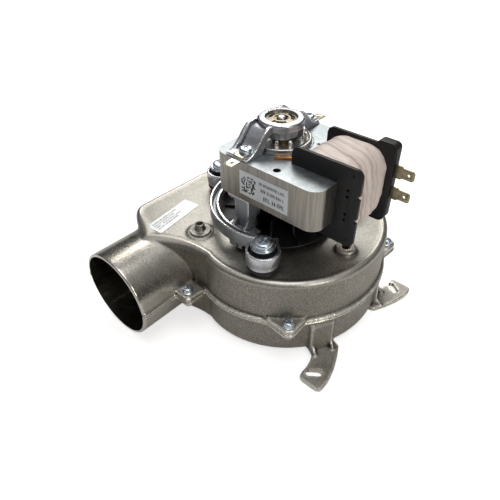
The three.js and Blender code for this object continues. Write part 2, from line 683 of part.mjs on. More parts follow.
// The copper loop around the tip of a pole: two legs through the stack, and a strap over each face.
function shadingLoop() {
  const [[ax, ay], [bx, by]] = shadingEnds;
  const length = Math.hypot(bx - ax, by - ay);
  const outer = slab(-1, length + 1, -1.1, 1.1, STACK_BOTTOM - 1.6, STACK_TOP + 1.6);
  const inner = slab(1, length - 1, -2, 2, STACK_BOTTOM - 0.2, STACK_TOP + 0.2);
  return cut(outer, inner)
    .rotateZ(Math.atan2(by - ay, bx - ax))
    .translate(ax, ay, 0);
}

const shadingSlots = () => {
  const turn = Math.atan2(shadingEnds[1][1] - shadingEnds[0][1], shadingEnds[1][0] - shadingEnds[0][0]);
  const front = shadingEnds.map(([x, y]) =>
    slab(-1.2, 1.2, -1.3, 1.3, STACK_BOTTOM - 1, STACK_TOP + 1).rotateZ(turn).translate(x, y, 0),
  );
  return [...front, ...front.map((slot) => slot.clone().rotateZ(Math.PI))];
};

function statorCore() {
  const outline = roundedRectangle(STACK_LEFT, STACK_RIGHT, -STACK_HALF, STACK_HALF, STACK_CORNER_R);
  outline.holes.push(circle(0, 0, BORE_R));
  for (const side of [-1, 1]) {
    outline.holes.push(circle(STACK_SCREW_X, side * SCREW_Y, STACK_SCREW_R + GAP));
    outline.holes.push(circle(SPARE_HOLE_X, side * SCREW_Y, 2.25));
    outline.holes.push(circle(...onCircle(BORE_R + RIVET_INSET, RIVET_ANGLE + (side < 0 ? Math.PI : 0)), 1.1));
  }
  const window = slab(WINDOW_LEFT, STACK_RIGHT + 1, -WINDOW_HALF, WINDOW_HALF, 0, 2 * STACK_TOP);
  return cut(prism(outline, STACK_BOTTOM, STACK_TOP, 10), window, ...shadingSlots());
}

const statorBar = () =>
  slab(BAR_LEFT, STACK_RIGHT, -WINDOW_HALF + FIT, WINDOW_HALF - FIT, STACK_BOTTOM, STACK_TOP);

// ---- coil ----

const barTunnel = (grow, y0, y1) =>
  slab(BAR_LEFT - grow, STACK_RIGHT + grow, y0, y1, STACK_BOTTOM - grow, STACK_TOP + grow);

function coilBobbin() {
  const inside = WINDOW_HALF - FLANGE_THICKNESS;
  const flange = () => roundedRectangle(FLANGE_LEFT, FLANGE_RIGHT, FLANGE_BOTTOM, FLANGE_TOP, 4);
  const block = roundedRectangle(
    FLANGE_RIGHT - BLOCK_WIDTH, FLANGE_RIGHT, FLANGE_BOTTOM + 1, FLANGE_TOP + BLOCK_RISE, 2.5,
  );
  const body = fuse(
    frontPrism(flange(), -WINDOW_HALF + FIT, -inside, 4),
    frontPrism(flange(), inside, WINDOW_HALF - FIT, 4),
    frontPrism(block, inside, WINDOW_HALF + BLOCK_DEPTH, 4),
    barTunnel(BOBBIN_WALL, -inside - 0.5, inside + 0.5),
  );
  const slots = TERMINAL_HEIGHTS.map((z) =>
    slab(FLANGE_RIGHT - 8, FLANGE_RIGHT + 1, TAB_Y - 0.5, TAB_Y + 0.5, z - 4.2, z + 4.2),
  );
  return cut(body, barTunnel(GAP, -WINDOW_HALF - 1, WINDOW_HALF + 1), ...slots);
}

function coilWinding() {
  const half = WINDOW_HALF - FLANGE_THICKNESS - GAP;
  const outline = roundedRectangle(
    FLANGE_LEFT + COIL_MARGIN,
    FLANGE_RIGHT - 2.3,
    FLANGE_BOTTOM + COIL_MARGIN,
    FLANGE_TOP - 0.5,
    COIL_CORNER_R,
  );
  return cut(frontPrism(outline, -half, half, 8), barTunnel(BOBBIN_WALL + GAP, -half - 1, half + 1));
}

// A spade terminal in X and Z, about its middle height; it points towards +X.
function spadeTerminal() {
  const half = TAB_WIDTH / 2;
  const root = FLANGE_RIGHT - 7.5;
  const neck = FLANGE_RIGHT + 3.5;
  const tip = FLANGE_RIGHT + 11.5;
  const blade = polygon([
    [root, -half - 0.9],
    [neck, -half - 0.9],
    [neck + 0.8, -half],
    [tip - 1, -half],
    [tip, -half + 1.2],
    [tip, half - 1.2],
    [tip - 1, half],
    [neck + 0.8, half],
    [neck, half + 0.9],
    [root, half + 0.9],
  ]);
  blade.holes.push(circle(tip - 3.5, 0, 0.9));
  return frontPrism(blade, TAB_Y - TAB_THICKNESS / 2, TAB_Y + TAB_THICKNESS / 2, 5);
}

// The earth tab under a stack screw, as the rear one: it lies on the pad of the upper bracket, bends down
// over the edge of the stack and points away from it.
function earthTab() {
  const z0 = STACK_TOP + PAD_THICKNESS + FIT;
  const z1 = z0 + TAB_THICKNESS;
  const drop = 1.9;
  const edge = STACK_HALF + 0.6;
  const step = polygon([
    [SCREW_Y, z0],
    [edge, z0],
    [edge + 1.4, z0 - drop],
    [edge + 9, z0 - drop],
    [edge + 9, z1 - drop],
    [edge + 1.8, z1 - drop],
    [edge + 0.4, z1],
    [SCREW_Y, z1],
  ]);
  const half = TAB_WIDTH / 2;
  const tongue = sidePrism(step, STACK_SCREW_X - half, STACK_SCREW_X + half);
  const base = slab(STACK_SCREW_X - 4.5, STACK_SCREW_X + 3.3, SCREW_Y - 4.3, SCREW_Y + 5.5, z0, z1);
  const bores = [
    rod(STACK_SCREW_R + GAP, z0 - 1, z1 + 1, 16).translate(STACK_SCREW_X, SCREW_Y, 0),
    rod(0.9, z0 - 3, z1, 10).translate(STACK_SCREW_X, edge + 5.2, 0),
  ];
  return cut(fuse(tongue, base), ...bores);
}

// ---- assembly ----

const material = (color, metalness, roughness) =>
  new THREE.MeshStandardMaterial({ color, metalness, roughness });
const castAluminium = material(0x9a9890, 0.9, 0.5);
const bracketAluminium = material(0x9ea2aa, 0.95, 0.35);
const zincSteel = material(0xa9bccb, 0.95, 0.3);
const brightSteel = material(0xc4c4c2, 1, 0.25);
const laminations = material(0x8f9496, 0.85, 0.45);
const blackPlastic = material(0x151518, 0, 0.5);
const blackRubber = material(0x0c0c0d, 0, 0.85);
const copper = material(0xb5673a, 1, 0.3);
const tinnedBrass = material(0xa39567, 0.9, 0.35);
const nickel = material(0xcfc9ad, 0.9, 0.35);
const windingTape = material(0xd8c4b8, 0, 0.7);
const bronze = material(0x9c7a4a, 0.9, 0.5);
const paper = material(0xe6e8ec, 0, 0.6);

const assembly = new THREE.Group();

function add(name, geometry, finish, [x, y, z] = [0, 0, 0], turn = [0, 0, 0]) {
  const mesh = new THREE.Mesh(geometry, finish);
  mesh.name = name;
  mesh.position.set(x, y, z);
  mesh.rotation.set(...turn);
  assembly.add(mesh);
  return mesh;
}

const HALF_TURN = [Math.PI, 0, 0];
const AROUND = [0, 0, Math.PI];
const onStack = [0, 0, STACK_TOP];
const underStack = [0, 0, STACK_BOTTOM];

add("casing_lower", lowerCasing(), castAluminium);
add("casing_upper", upperCasing(), castAluminium);
earPlaces.forEach(([x, y], i) =>
  add(`casing_screw_${i + 1}`, casingScrew(), zincSteel, [x, y, SEAM_Z + EAR_ABOVE + FIT]),
);
add("pressure_nipple", pressureNipple(), brightSteel, [...nipplePlace, PLATE_Z + 1 + FIT]);
add("casing_label", label(...CASING_LABEL), paper, [DUCT_X - 4.1, -47, PLATE_Z + FIT], [0, 0, radians(8)]);
add("shaft_seal", shaftSeal(), brightSteel);

add("shaft", shaft(), brightSteel);
add("impeller_wheel", impellerWheel(), brightSteel);
add("impeller_shroud", impellerShroud(), brightSteel);
add("impeller_hub", impellerHub(), castAluminium);
add("impeller_washer", impellerWasher(), zincSteel);
add("impeller_nut", impellerNut(), zincSteel);
add("cooling_fan", coolingFan(), blackPlastic);
add("rotor_core", rotorCore(), laminations);
add("rotor_end_ring_upper", endRing(), castAluminium, onStack);
add("rotor_end_ring_lower", endRing(), castAluminium, underStack, HALF_TURN);
add("rotor_spacer_upper", rotorSpacer(), bronze, onStack);
add("rotor_spacer_lower", rotorSpacer(), bronze, underStack, HALF_TURN);

add("bearing_bracket_lower", lowerBracket(), bracketAluminium);
add("bearing_bracket_upper", upperBracket(), bracketAluminium, [0, 0, STACK_TOP + FIT]);
add("bearing_lower", bearing(), bronze, underStack, HALF_TURN);
add("bearing_upper", bearing(), bronze, onStack);
add("bearing_retainer_lower", bearingRetainer(), nickel, underStack, HALF_TURN);
add("bearing_retainer_upper", bearingRetainer(), nickel, onStack);
mountPlaces.forEach(([x, y], i) => {
  add(`rubber_mount_${i + 1}`, rubberMount(), blackRubber, [x, y, 0]);
  add(`mount_sleeve_${i + 1}`, mountSleeve(), zincSteel, [x, y, 0]);
  add(`mount_screw_${i + 1}`, mountScrew(), zincSteel, [x, y, EYE_TOP + 2.3]);
});

add("stator_core", statorCore(), laminations);
add("stator_bar", statorBar(), laminations);
add("shading_loop_front", shadingLoop(), copper);
add("shading_loop_rear", shadingLoop(), copper, [0, 0, 0], AROUND);
const screwSeatZ = STACK_TOP + PAD_THICKNESS + TAB_THICKNESS + 2 * FIT;
add("stack_screw_front", stackScrew(), zincSteel, [STACK_SCREW_X, -SCREW_Y, screwSeatZ]);
add("stack_screw_rear", stackScrew(), zincSteel, [STACK_SCREW_X, SCREW_Y, screwSeatZ]);
add("earth_tab_rear", earthTab(), nickel);
add("earth_tab_front", earthTab(), nickel).scale.y = -1;
add("coil_bobbin", coilBobbin(), blackPlastic);
add("coil_winding", coilWinding(), windingTape);
add("spade_terminal_upper", spadeTerminal(), tinnedBrass, [0, 0, TERMINAL_HEIGHTS[0]]);
add("spade_terminal_lower", spadeTerminal(), tinnedBrass, [0, 0, TERMINAL_HEIGHTS[1]]);
const labelMiddle = [16.5, -STACK_HALF - FIT, (STACK_BOTTOM + STACK_TOP) / 2 - 0.5];
add("motor_label", label(36, 16), paper, labelMiddle, [Math.PI / 2, 0, 0]);

// The middle of the bounding box, on the surface that the casing stands on, becomes the origin.
const size = new THREE.Box3().setFromObject(assembly);
const middle = size.getCenter(new THREE.Vector3());
assembly.position.set(-middle.x, -middle.y, -size.min.z);

const combustionFan = new THREE.Group();
combustionFan.add(assembly);

export default combustionFan;
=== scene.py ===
import json
import math
import random

import bmesh
import bpy
from mathutils import Matrix, Quaternion, Vector, noise

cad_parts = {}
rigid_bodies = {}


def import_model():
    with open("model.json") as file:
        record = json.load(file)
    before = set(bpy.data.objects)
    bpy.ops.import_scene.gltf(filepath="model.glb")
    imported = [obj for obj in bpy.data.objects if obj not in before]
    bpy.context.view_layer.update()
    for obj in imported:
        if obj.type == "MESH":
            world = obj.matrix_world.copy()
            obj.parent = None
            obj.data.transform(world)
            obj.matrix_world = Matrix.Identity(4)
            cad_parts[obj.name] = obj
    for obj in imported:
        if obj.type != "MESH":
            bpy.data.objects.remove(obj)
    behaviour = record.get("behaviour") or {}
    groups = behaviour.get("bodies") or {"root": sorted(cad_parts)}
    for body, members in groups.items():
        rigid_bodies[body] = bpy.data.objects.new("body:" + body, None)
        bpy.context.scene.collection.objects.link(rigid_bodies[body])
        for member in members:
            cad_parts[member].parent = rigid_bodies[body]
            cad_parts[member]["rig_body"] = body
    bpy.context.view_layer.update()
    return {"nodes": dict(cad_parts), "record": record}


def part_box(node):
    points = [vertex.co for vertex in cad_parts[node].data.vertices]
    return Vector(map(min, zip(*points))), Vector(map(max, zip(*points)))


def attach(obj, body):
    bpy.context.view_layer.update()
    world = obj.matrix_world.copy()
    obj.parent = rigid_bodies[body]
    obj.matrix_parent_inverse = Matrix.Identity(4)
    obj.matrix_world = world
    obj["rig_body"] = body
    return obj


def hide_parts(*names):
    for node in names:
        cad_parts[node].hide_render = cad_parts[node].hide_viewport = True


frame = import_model()
MM = 0.001
TAU = 2 * math.pi


def low(node):
    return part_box(node)[0] / MM


def high(node):
    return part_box(node)[1] / MM


# ---- places taken from the frame ----
AXIS = (low("shaft") + high("shaft")) / 2
AXIS.z = 0
SEAM = high("casing_lower").z
PLATE = low("casing_label").z
BOSS_TOP = low("rubber_mount_1").z
EYE_BOTTOM = low("bearing_bracket_lower").z
STACK_BOTTOM = low("stator_core").z
STACK_TOP = high("stator_core").z
STACK_LEFT = low("stator_core").x - AXIS.x
STACK_RIGHT = high("stator_core").x - AXIS.x
STACK_HALF = high("stator_core").y - AXIS.y
MOUTH_Y = low("casing_upper").y - AXIS.y
WINDOW_HALF = high("stator_bar").y - AXIS.y
BAR_LEFT = low("stator_bar").x - AXIS.x
SHAFT_TOP = high("shaft").z
MOUNTS = [(low(f"rubber_mount_{i}") + high(f"rubber_mount_{i}")) / 2 - AXIS for i in (1, 2, 3)]
EARS = [(low(f"casing_screw_{i}") + high(f"casing_screw_{i}")) / 2 - AXIS for i in range(1, 7)]
NIPPLE = (low("pressure_nipple") + high("pressure_nipple")) / 2 - AXIS

# ---- sizes of the casing ----
CASING_WALL = 2.5
SCROLL_START_R = 62
SCROLL_END_R = 83
SCROLL_START = math.radians(-97)
SCROLL_POWER = 0.75
TOP_FILLET = 3.4
BOTTOM_FILLET = 8
BEAD_HEIGHT = 0.5
BEAD_WIDTH = 2.0
LIP_REACH = 2.2
LIP_HEIGHT = 1.8
DUCT_R = 30
DUCT_WALL = 1.8
DUCT_X = -50.4
NECK_TIP_Y = -79
NECK_CORNER_Y = -52
MOUNT_CIRCLE_R = 54.5
INLET_R = 29.5
INLET_THROAT_R = 26.5
INLET_HEIGHT = 12
FOOT_X = 72
FOOT_Y = 50
FOOT_THICKNESS = 3
FOOT_SLOT_TURN = math.radians(-37)
FOOT_CORNERS = ((1, -1), (1, 1), (-1, 1))

# ---- sizes of the motor ----
BORE_R = 20.3
STACK_SCREW_X = -1.5
STACK_SCREW_Y = STACK_HALF - 5.7
EYE_TOP = EYE_BOTTOM + 9.7
EYE_R = 10.3
EYE_BORE_R = 8.5
RIM_INNER_R = 40
RIM_OUTER_R = 46
HUB_R = 14
HUB_TOP = 15.4
PAD = 2.4


# ================================================================ camera


def make_camera():
    azimuth, pitch, roll = (math.radians(a) for a in (42.09, 38.72, -0.31))
    back = Vector(
        (math.sin(azimuth) * math.cos(pitch), -math.cos(azimuth) * math.cos(pitch), math.sin(pitch))
    )
    data = bpy.data.cameras.new("camera")
    data.lens, data.sensor_width = 33.18, 36
    data.shift_x, data.shift_y = -0.0101, -0.0207
    data.clip_start = 0.01
    camera = bpy.data.objects.new("camera", data)
    turn = back.to_track_quat("Z", "Y") @ Quaternion((0, 0, 1), roll)
    camera.matrix_world = Matrix.LocRotScale(Vector((166.3, -193.3, 246.7)) * MM, turn, None)
    bpy.context.scene.collection.objects.link(camera)
    bpy.context.scene.camera = camera


make_camera()


# ================================================================ shader writing


class Wire:
    """One value in a shader. Arithmetic on it adds Math nodes."""

    def __init__(self, finish, socket):
        self.finish, self.socket = finish, socket

    def math(self, operation, *others):
        return self.finish.node("ShaderNodeMath", {"operation": operation}, self, *others)

    def __add__(self, other):
        return self.math("ADD", other)

    def __sub__(self, other):
        return self.math("SUBTRACT", other)

    def __rsub__(self, other):
        return self.finish.node("ShaderNodeMath", {"operation": "SUBTRACT"}, other, self)

    def __mul__(self, other):
        return self.math("MULTIPLY", other)

    def __truediv__(self, other):
        return self.math("DIVIDE", other)

    def __pow__(self, other):
        return self.math("POWER", other)

    def __abs__(self):
        return self.math("ABSOLUTE")

    __radd__ = __add__
    __rmul__ = __mul__

    def step(self, start, end):
        """0 below start, 1 above end, and smooth between them."""
        settings = {"interpolation_type": "SMOOTHSTEP"}
        return self.finish.node("ShaderNodeMapRange", settings, self, start, end, 0.0, 1.0)


class Finish:
    """A material whose look is worked out by nodes."""

    def __init__(self, name, **sockets):
        self.material = bpy.data.materials.new(name)
        self.material.use_nodes = True
        self.tree = self.material.node_tree
        self.shader = self.tree.nodes["Principled BSDF"]
        self.set(**sockets)

    def node(self, kind, settings, *inputs, output=0, **named):
        made = self.tree.nodes.new(kind)
        for key, value in settings.items():
            if key == "stops":
                self.fill_ramp(made.color_ramp, value)
            else:
                setattr(made, key, value)
        for socket, value in [*zip(made.inputs, inputs), *((made.inputs[k], v) for k, v in named.items())]:
            self.feed(socket, value)
        return Wire(self, made.outputs[output])

    @staticmethod
    def fill_ramp(ramp, stops):
        while len(ramp.elements) < len(stops):
            ramp.elements.new(1)
        for element, (position, shade) in zip(ramp.elements, stops):
            element.position, element.color = position, (*shade, 1)

    def feed(self, socket, value):
        if isinstance(value, Wire):
            self.tree.links.new(value.socket, socket)
        elif socket.type == "RGBA":
            socket.default_value = (*value[:3], 1)
        else:
            socket.default_value = value

    def set(self, **sockets):
        for key, value in sockets.items():
            self.feed(self.shader.inputs[key.replace("_", " ").title()], value)
        return self

    def place(self, stretch=(1, 1, 1)):
        """Object coordinates, with each axis multiplied."""
        point = self.node("ShaderNodeTexCoord", {}, output=3)
        return self.node("ShaderNodeMapping", {}, point, Scale=stretch)

    def axes(self):
        split = self.node("ShaderNodeSeparateXYZ", {}, self.place()).socket.node
        return [Wire(self, out) for out in split.outputs]

    def facing_up(self):
        normal = self.node("ShaderNodeTexCoord", {}, output=1)
        split = self.node("ShaderNodeSeparateXYZ", {}, normal).socket.node
        return Wire(self, split.outputs[2])

    def grain(self, scale, detail=3.0, stretch=(1, 1, 1), rough=0.5, vector=None):
        """Noise from 0 to 1; scale is in cells per metre."""
        vector = vector or self.place(stretch)
        return self.node("ShaderNodeTexNoise", {}, vector, 0.0, scale, detail, rough)

    def attribute(self, name):
        return self.node("ShaderNodeAttribute", {"attribute_name": name}, output=2)

    def blend(self, factor, first, second, mode="MIX"):
        made = self.tree.nodes.new("ShaderNodeMix")
        made.data_type, made.blend_type = "RGBA", mode
        for socket, value in zip((made.inputs[0], made.inputs[6], made.inputs[7]), (factor, first, second)):
            self.feed(socket, value)
        return Wire(self, made.outputs[2])

    def bumpy(self, height, depth, strength=1.0):
        """Relief from a height of 0 to 1; depth is in millimetres."""
        relief = self.node("ShaderNodeBump", {}, Strength=strength, Distance=depth * MM, Height=height)
        return self.set(normal=relief)


def cast_metal(name, dull, pale, bright, roughness, speckle, side_shade, tube=0.0):
    """Die-cast aluminium: mottled and speckled, with painted shade on its upright sides, edge wear and a
    painted highlight on its bulging edges, and painted shade in its corners.

    tube says how much smoother the machined outlet duct is; 0 leaves it like the rest.
    """
    f = Finish(name, metallic=1.0)
    blotches = f.grain(38, 4, rough=0.65)
    grit = f.grain(1250, 3, rough=0.65)
    flecks = f.grain(800, 3).step(0.57, 0.68)
    scratches = f.grain(260, 5, stretch=(1, 6, 2.2), rough=0.7).step(0.56, 0.70)
    shade = f.blend(blotches.step(0.34, 0.66), dull, pale)
    # Painted shade: upright sides are blended towards a darker, warmer brown than the top.
    upright = 1.0 - abs(f.facing_up()).step(0.35, 0.85)
    shade = f.blend(upright * side_shade, shade, (0.275, 0.245, 0.20))
    on_tube = 0.0
    if tube:
        along = f.axes()[1]
        on_tube = 1.0 - along.step((NECK_TIP_Y + AXIS.y - 2) * MM, (NECK_TIP_Y + AXIS.y + 10) * MM)
    speckle = speckle * (1.0 - 0.7 * on_tube)
    shade = f.blend(grit.step(0.50, 0.68) * speckle, shade, bright)
    shade = f.blend((1.0 - grit.step(0.33, 0.50)) * speckle, shade, tuple(c * 0.4 for c in dull))
    shade = f.blend(flecks * speckle * 0.6, shade, tuple(c * 0.45 for c in dull))
    # Painted shade: hollows and inner corners are darkened almost to black.
    grime = f.attribute("grime") * (0.6 + 0.6 * blotches)
    shade = f.blend(grime.math("MINIMUM", 0.9), shade, (0.035, 0.032, 0.028))
    # Edge wear and a painted highlight: bulging edges are lightened towards the bright colour.
    wear_and_highlight = f.attribute("worn") * (0.25 + 1.1 * f.grain(420, 3))
    wear_and_highlight = wear_and_highlight.math("MINIMUM", 1.0)
    shade = f.blend(wear_and_highlight, shade, bright)
    rough = roughness + (grit - 0.5) * 0.3 + (blotches - 0.5) * 0.25 - wear_and_highlight * 0.22 + grime * 0.2
    if tube:
        shade = f.blend(on_tube * 0.55, shade, (0.56, 0.53, 0.47))
        rough = rough - on_tube * tube + on_tube * scratches * 0.12
    f.set(base_color=shade, roughness=rough.math("MAXIMUM", 0.14))
    f.bumpy(grit * 0.6 + f.grain(420, 4) * 0.4 + scratches * 0.1, 0.22, 0.5)
    return f.material


def plated_steel(name, shade, tint, roughness):
    """Screws and small stampings under a thin bright plating."""
    f = Finish(name, metallic=1.0)
    cloudy = f.grain(330, 4)
    fine = f.grain(2600, 3)
    f.set(base_color=f.blend(cloudy.step(0.38, 0.66), shade, tint))
    f.set(roughness=roughness + (cloudy - 0.5) * 0.25 + (fine - 0.5) * 0.12)
    f.bumpy(fine, 0.03, 0.4)
    return f.material


def turned_steel(name, shade, roughness):
    """Ground and spun steel, with rings around the shaft."""
    f = Finish(name, metallic=1.0)
    x, y, z = f.axes()
    radius = ((x - AXIS.x * MM) ** 2.0 + (y - AXIS.y * MM) ** 2.0) ** 0.5
    point = f.node("ShaderNodeCombineXYZ", {}, radius, z, 0.0)
    rings = f.grain(5200, 3, vector=point)
    cloudy = f.grain(160, 4)
    f.set(base_color=f.blend(cloudy.step(0.3, 0.7), shade, tuple(c * 0.78 for c in shade)))
    f.set(roughness=roughness + (rings - 0.5) * 0.2 + (cloudy - 0.5) * 0.15)
    f.bumpy(rings, 0.03, 0.5)
    return f.material


def laminated_steel():
    """The stack of motor sheets: pale and mottled on top, streaked across the sheets' cut edges."""
    f = Finish("laminated_steel", metallic=1.0)
    top = abs(f.facing_up()).step(0.5, 0.8)
    streaks = f.grain(900, 4, stretch=(1, 1, 0.035), rough=0.65)
    broad = f.grain(120, 3, stretch=(1, 1, 0.12))
    mottle = f.grain(260, 5, rough=0.65)
    specks = f.grain(1500, 2).step(0.60, 0.74)
    side = f.blend(streaks.step(0.35, 0.68), (0.33, 0.31, 0.275), (0.50, 0.475, 0.435))
    side = f.blend(broad.step(0.45, 0.7) * 0.5, side, (0.42, 0.36, 0.29))
    upper = f.blend(mottle.step(0.35, 0.7), (0.34, 0.375, 0.40), (0.47, 0.505, 0.53))
    upper = f.blend(specks * 0.35, upper, (0.70, 0.73, 0.75))
    f.set(base_color=f.blend(top, side, upper))
    f.set(roughness=0.34 + (streaks - 0.5) * 0.25 * (1.0 - top) + top * (0.10 + (mottle - 0.5) * 0.2))
    f.bumpy(streaks * (1.0 - top) * 0.5 + specks * top * 0.5, 0.04, 0.4)
    return f.material


def moulded_plastic(name, shade, roughness, depth=0.05):
    f = Finish(name)
    fine = f.grain(3200, 2)
    dust = f.grain(480, 5, rough=0.7).step(0.60, 0.78)
    cloudy = f.grain(70, 3)
    f.set(base_color=f.blend(dust * 0.2, shade, (0.06, 0.06, 0.063)))
    f.set(roughness=roughness + (cloudy - 0.5) * 0.2 + dust * 0.15)
    f.bumpy(fine * 0.6 + f.grain(350, 2) * 0.4, depth, 0.5)
    return f.material


def soft_rubber():
    f = Finish("black_rubber")
    fine = f.grain(2100, 3)
    bloom = f.grain(300, 4).step(0.5, 0.8)
    f.set(base_color=f.blend(bloom * 0.35, (0.007, 0.007, 0.008), (0.03, 0.03, 0.031)))
    f.set(roughness=0.62 + (fine - 0.5) * 0.2)
    f.bumpy(fine, 0.06, 0.6)
    return f.material


def metal_sheet(name, shade, tarnish, roughness, stretch=(0.06, 1, 1)):
    """Stamped blades and loops, drawn in one direction and a little tarnished."""
    f = Finish(name, metallic=1.0)
    drawn = f.grain(2400, 3, stretch=stretch)
    patches = f.grain(420, 4, rough=0.6)
    f.set(base_color=f.blend(patches.step(0.40, 0.72), shade, tarnish))
    f.set(roughness=roughness + (drawn - 0.5) * 0.22 + patches.step(0.5, 0.8) * 0.15)
    f.bumpy(drawn, 0.04, 0.5)
    return f.material


def winding_tape():
    """Varnished tape wound round the coil: beige, streaked along its turns, with painted shade in its creases.
    """
    f = Finish("winding_tape", coat_weight=0.12, coat_roughness=0.35)
    crease = f.attribute("crease")
    streaks = f.grain(520, 4, stretch=(0.12, 1, 0.12), rough=0.6)
    threads = f.grain(2600, 2, stretch=(1, 0.5, 1))
    cloudy = f.grain(60, 3)
    shade = f.blend(streaks.step(0.30, 0.72), (0.70, 0.585, 0.525), (0.87, 0.775, 0.715))
    shade = f.blend(cloudy.step(0.40, 0.7) * 0.35, shade, (0.80, 0.66, 0.60))
    # Painted shade: the tape is darkened in its creases.
    shade = f.blend(crease, shade, (0.45, 0.335, 0.29))
    f.set(base_color=shade, roughness=0.48 + (streaks - 0.5) * 0.25)
    f.bumpy(streaks * 0.7 + threads * 0.3, 0.12, 0.5)
    return f.material


def printed_foil():
    f = Finish("foil_label", metallic=0.35)
    fibre = f.grain(1500, 3)
    cloudy = f.grain(90, 3)
    f.set(base_color=f.blend(cloudy.step(0.3, 0.7), (0.76, 0.79, 0.83), (0.86, 0.88, 0.90)))
    f.set(roughness=0.40 + (fibre - 0.5) * 0.15)
    f.bumpy(fibre, 0.02, 0.3)
    return f.material


def printing_ink():
    f = Finish("printing_ink")
    worn = f.grain(1800, 3).step(0.35, 0.75)
    f.set(base_color=f.blend(worn, (0.035, 0.035, 0.04), (0.10, 0.10, 0.11)), roughness=0.45)
    return f.material


def sintered_bronze():
    f = Finish("bronze", metallic=1.0)
    pores = f.grain(2400, 3).step(0.55, 0.75)
    f.set(base_color=f.blend(pores, (0.50, 0.37, 0.21), (0.24, 0.17, 0.10)))
    f.set(roughness=0.42 + pores * 0.3)
    f.bumpy(1.0 - pores, 0.05, 0.6)
    return f.material


# In each cast finish, the number after the speckle sets how much painted shade the upright sides get.
CAST = cast_metal(
    "cast_aluminium", (0.30, 0.29, 0.265), (0.42, 0.41, 0.38), (0.88, 0.84, 0.76), 0.44, 0.40, 0.55, tube=0.2
)
BRACKET = cast_metal(
    "bracket_aluminium", (0.40, 0.42, 0.46), (0.53, 0.55, 0.59), (0.80, 0.81, 0.83), 0.42, 0.35, 0.1
)
RING_CAST = cast_metal(
    "ring_aluminium", (0.50, 0.49, 0.47), (0.64, 0.63, 0.61), (0.92, 0.92, 0.90), 0.38, 0.3, 0.1
)
ZINC = plated_steel("zinc_steel", (0.56, 0.64, 0.72), (0.74, 0.78, 0.80), 0.24)
NICKEL = plated_steel("nickel", (0.62, 0.585, 0.48), (0.74, 0.71, 0.61), 0.33)
SPRING = plated_steel("spring_nickel", (0.27, 0.245, 0.19), (0.38, 0.355, 0.30), 0.42)
STEEL = turned_steel("bright_steel", (0.70, 0.70, 0.69), 0.26)
STACK = laminated_steel()
PLASTIC = moulded_plastic("black_plastic", (0.005, 0.005, 0.006), 0.5)
RUBBER = soft_rubber()
COPPER = metal_sheet("copper", (0.90, 0.43, 0.17), (0.72, 0.30, 0.10), 0.28, (1, 0.06, 1))
BRASS = metal_sheet("tinned_brass", (0.50, 0.445, 0.30), (0.34, 0.285, 0.17), 0.36)
TAPE = winding_tape()
FOIL = printed_foil()
INK = printing_ink()
BRONZE = sintered_bronze()


# ================================================================ floor and light


def make_floor():
    half = 1.6
    mesh = bpy.data.meshes.new("floor")
    corners = [(x * half, y * half, -0.0003) for x, y in ((-1, -1), (1, -1), (1, 1), (-1, 1))]
    mesh.from_pydata(corners, [], [(0, 1, 2, 3)])
    floor = bpy.data.objects.new("floor", mesh)
    bpy.context.scene.collection.objects.link(floor)
    f = Finish("floor_paper", roughness=0.95)
    f.set(base_color=f.blend(f.grain(3, 2), (0.86, 0.86, 0.86), (0.88, 0.88, 0.88)))
    seen = f.node("ShaderNodeLightPath", {}, output=0)
    f.set(emission_color=(1, 1, 1), emission_strength=seen * 0.62)
    mesh.materials.append(f.material)


def soft_box(name, place, aim, size, watts, shade=(1, 1, 1)):
    data = bpy.data.lights.new(name, "AREA")
    data.shape, data.size, data.size_y = "RECTANGLE", *size
    data.energy, data.color = watts, shade
    lamp = bpy.data.objects.new(name, data)
    lamp.location = place
    lamp.rotation_euler = (Vector(place) - Vector(aim)).to_track_quat("Z", "Y").to_euler()
    bpy.context.scene.collection.objects.link(lamp)


def make_world():
    """White to the eye, and a studio with a bright ceiling and darker walls to what it lights."""
    world = bpy.data.worlds.new("studio")
    world.use_nodes = True
    bpy.context.scene.world = world
    nodes, links = world.node_tree.nodes, world.node_tree.links
    room = nodes["Background"]
    point = nodes.new("ShaderNodeTexCoord")
    split = nodes.new("ShaderNodeSeparateXYZ")
    ramp = nodes.new("ShaderNodeValToRGB")
    stops = [(0, (0.3,) * 3), (0.5, (0.13,) * 3), (0.62, (0.09,) * 3), (0.82, (0.5,) * 3), (1, (1,) * 3)]
    Finish.fill_ramp(ramp.color_ramp, stops)
    lift = nodes.new("ShaderNodeMath")
    lift.operation, lift.inputs[1].default_value, lift.inputs[2].default_value = "MULTIPLY_ADD", 0.5, 0.5
    links.new(point.outputs["Generated"], split.inputs[0])
    links.new(split.outputs["Z"], lift.inputs[0])
    links.new(lift.outputs[0], ramp.inputs[0])
    links.new(ramp.outputs[0], room.inputs["Color"])
    room.inputs["Strength"].default_value = 0.55
    seen = nodes.new("ShaderNodeBackground")
    seen.inputs["Color"].default_value = (1, 1, 1, 1)
    path = nodes.new("ShaderNodeLightPath")
    choose = nodes.new("ShaderNodeMixShader")
    links.new(path.outputs["Is Camera Ray"], choose.inputs[0])
    links.new(room.outputs[0], choose.inputs[1])
    links.new(seen.outputs[0], choose.inputs[2])
    links.new(choose.outputs[0], nodes["World Output"].inputs["Surface"])


make_floor()
make_world()
soft_box("key_light", (-0.55, 0.65, 0.85), (0, 0, 0.05), (0.7, 0.5), 5.6, (1, 0.97, 0.92))
soft_box("top_light", (0.15, -0.1, 1.1), (0, 0, 0.05), (0.6, 0.6), 2.4)
soft_box("side_light", (0.9, -0.25, 0.55), (0, 0, 0.05), (0.2, 0.5), 2.0, (1, 0.96, 0.9))
bpy.context.scene.view_settings.view_transform = "Standard"


# ================================================================ drawing in millimetres


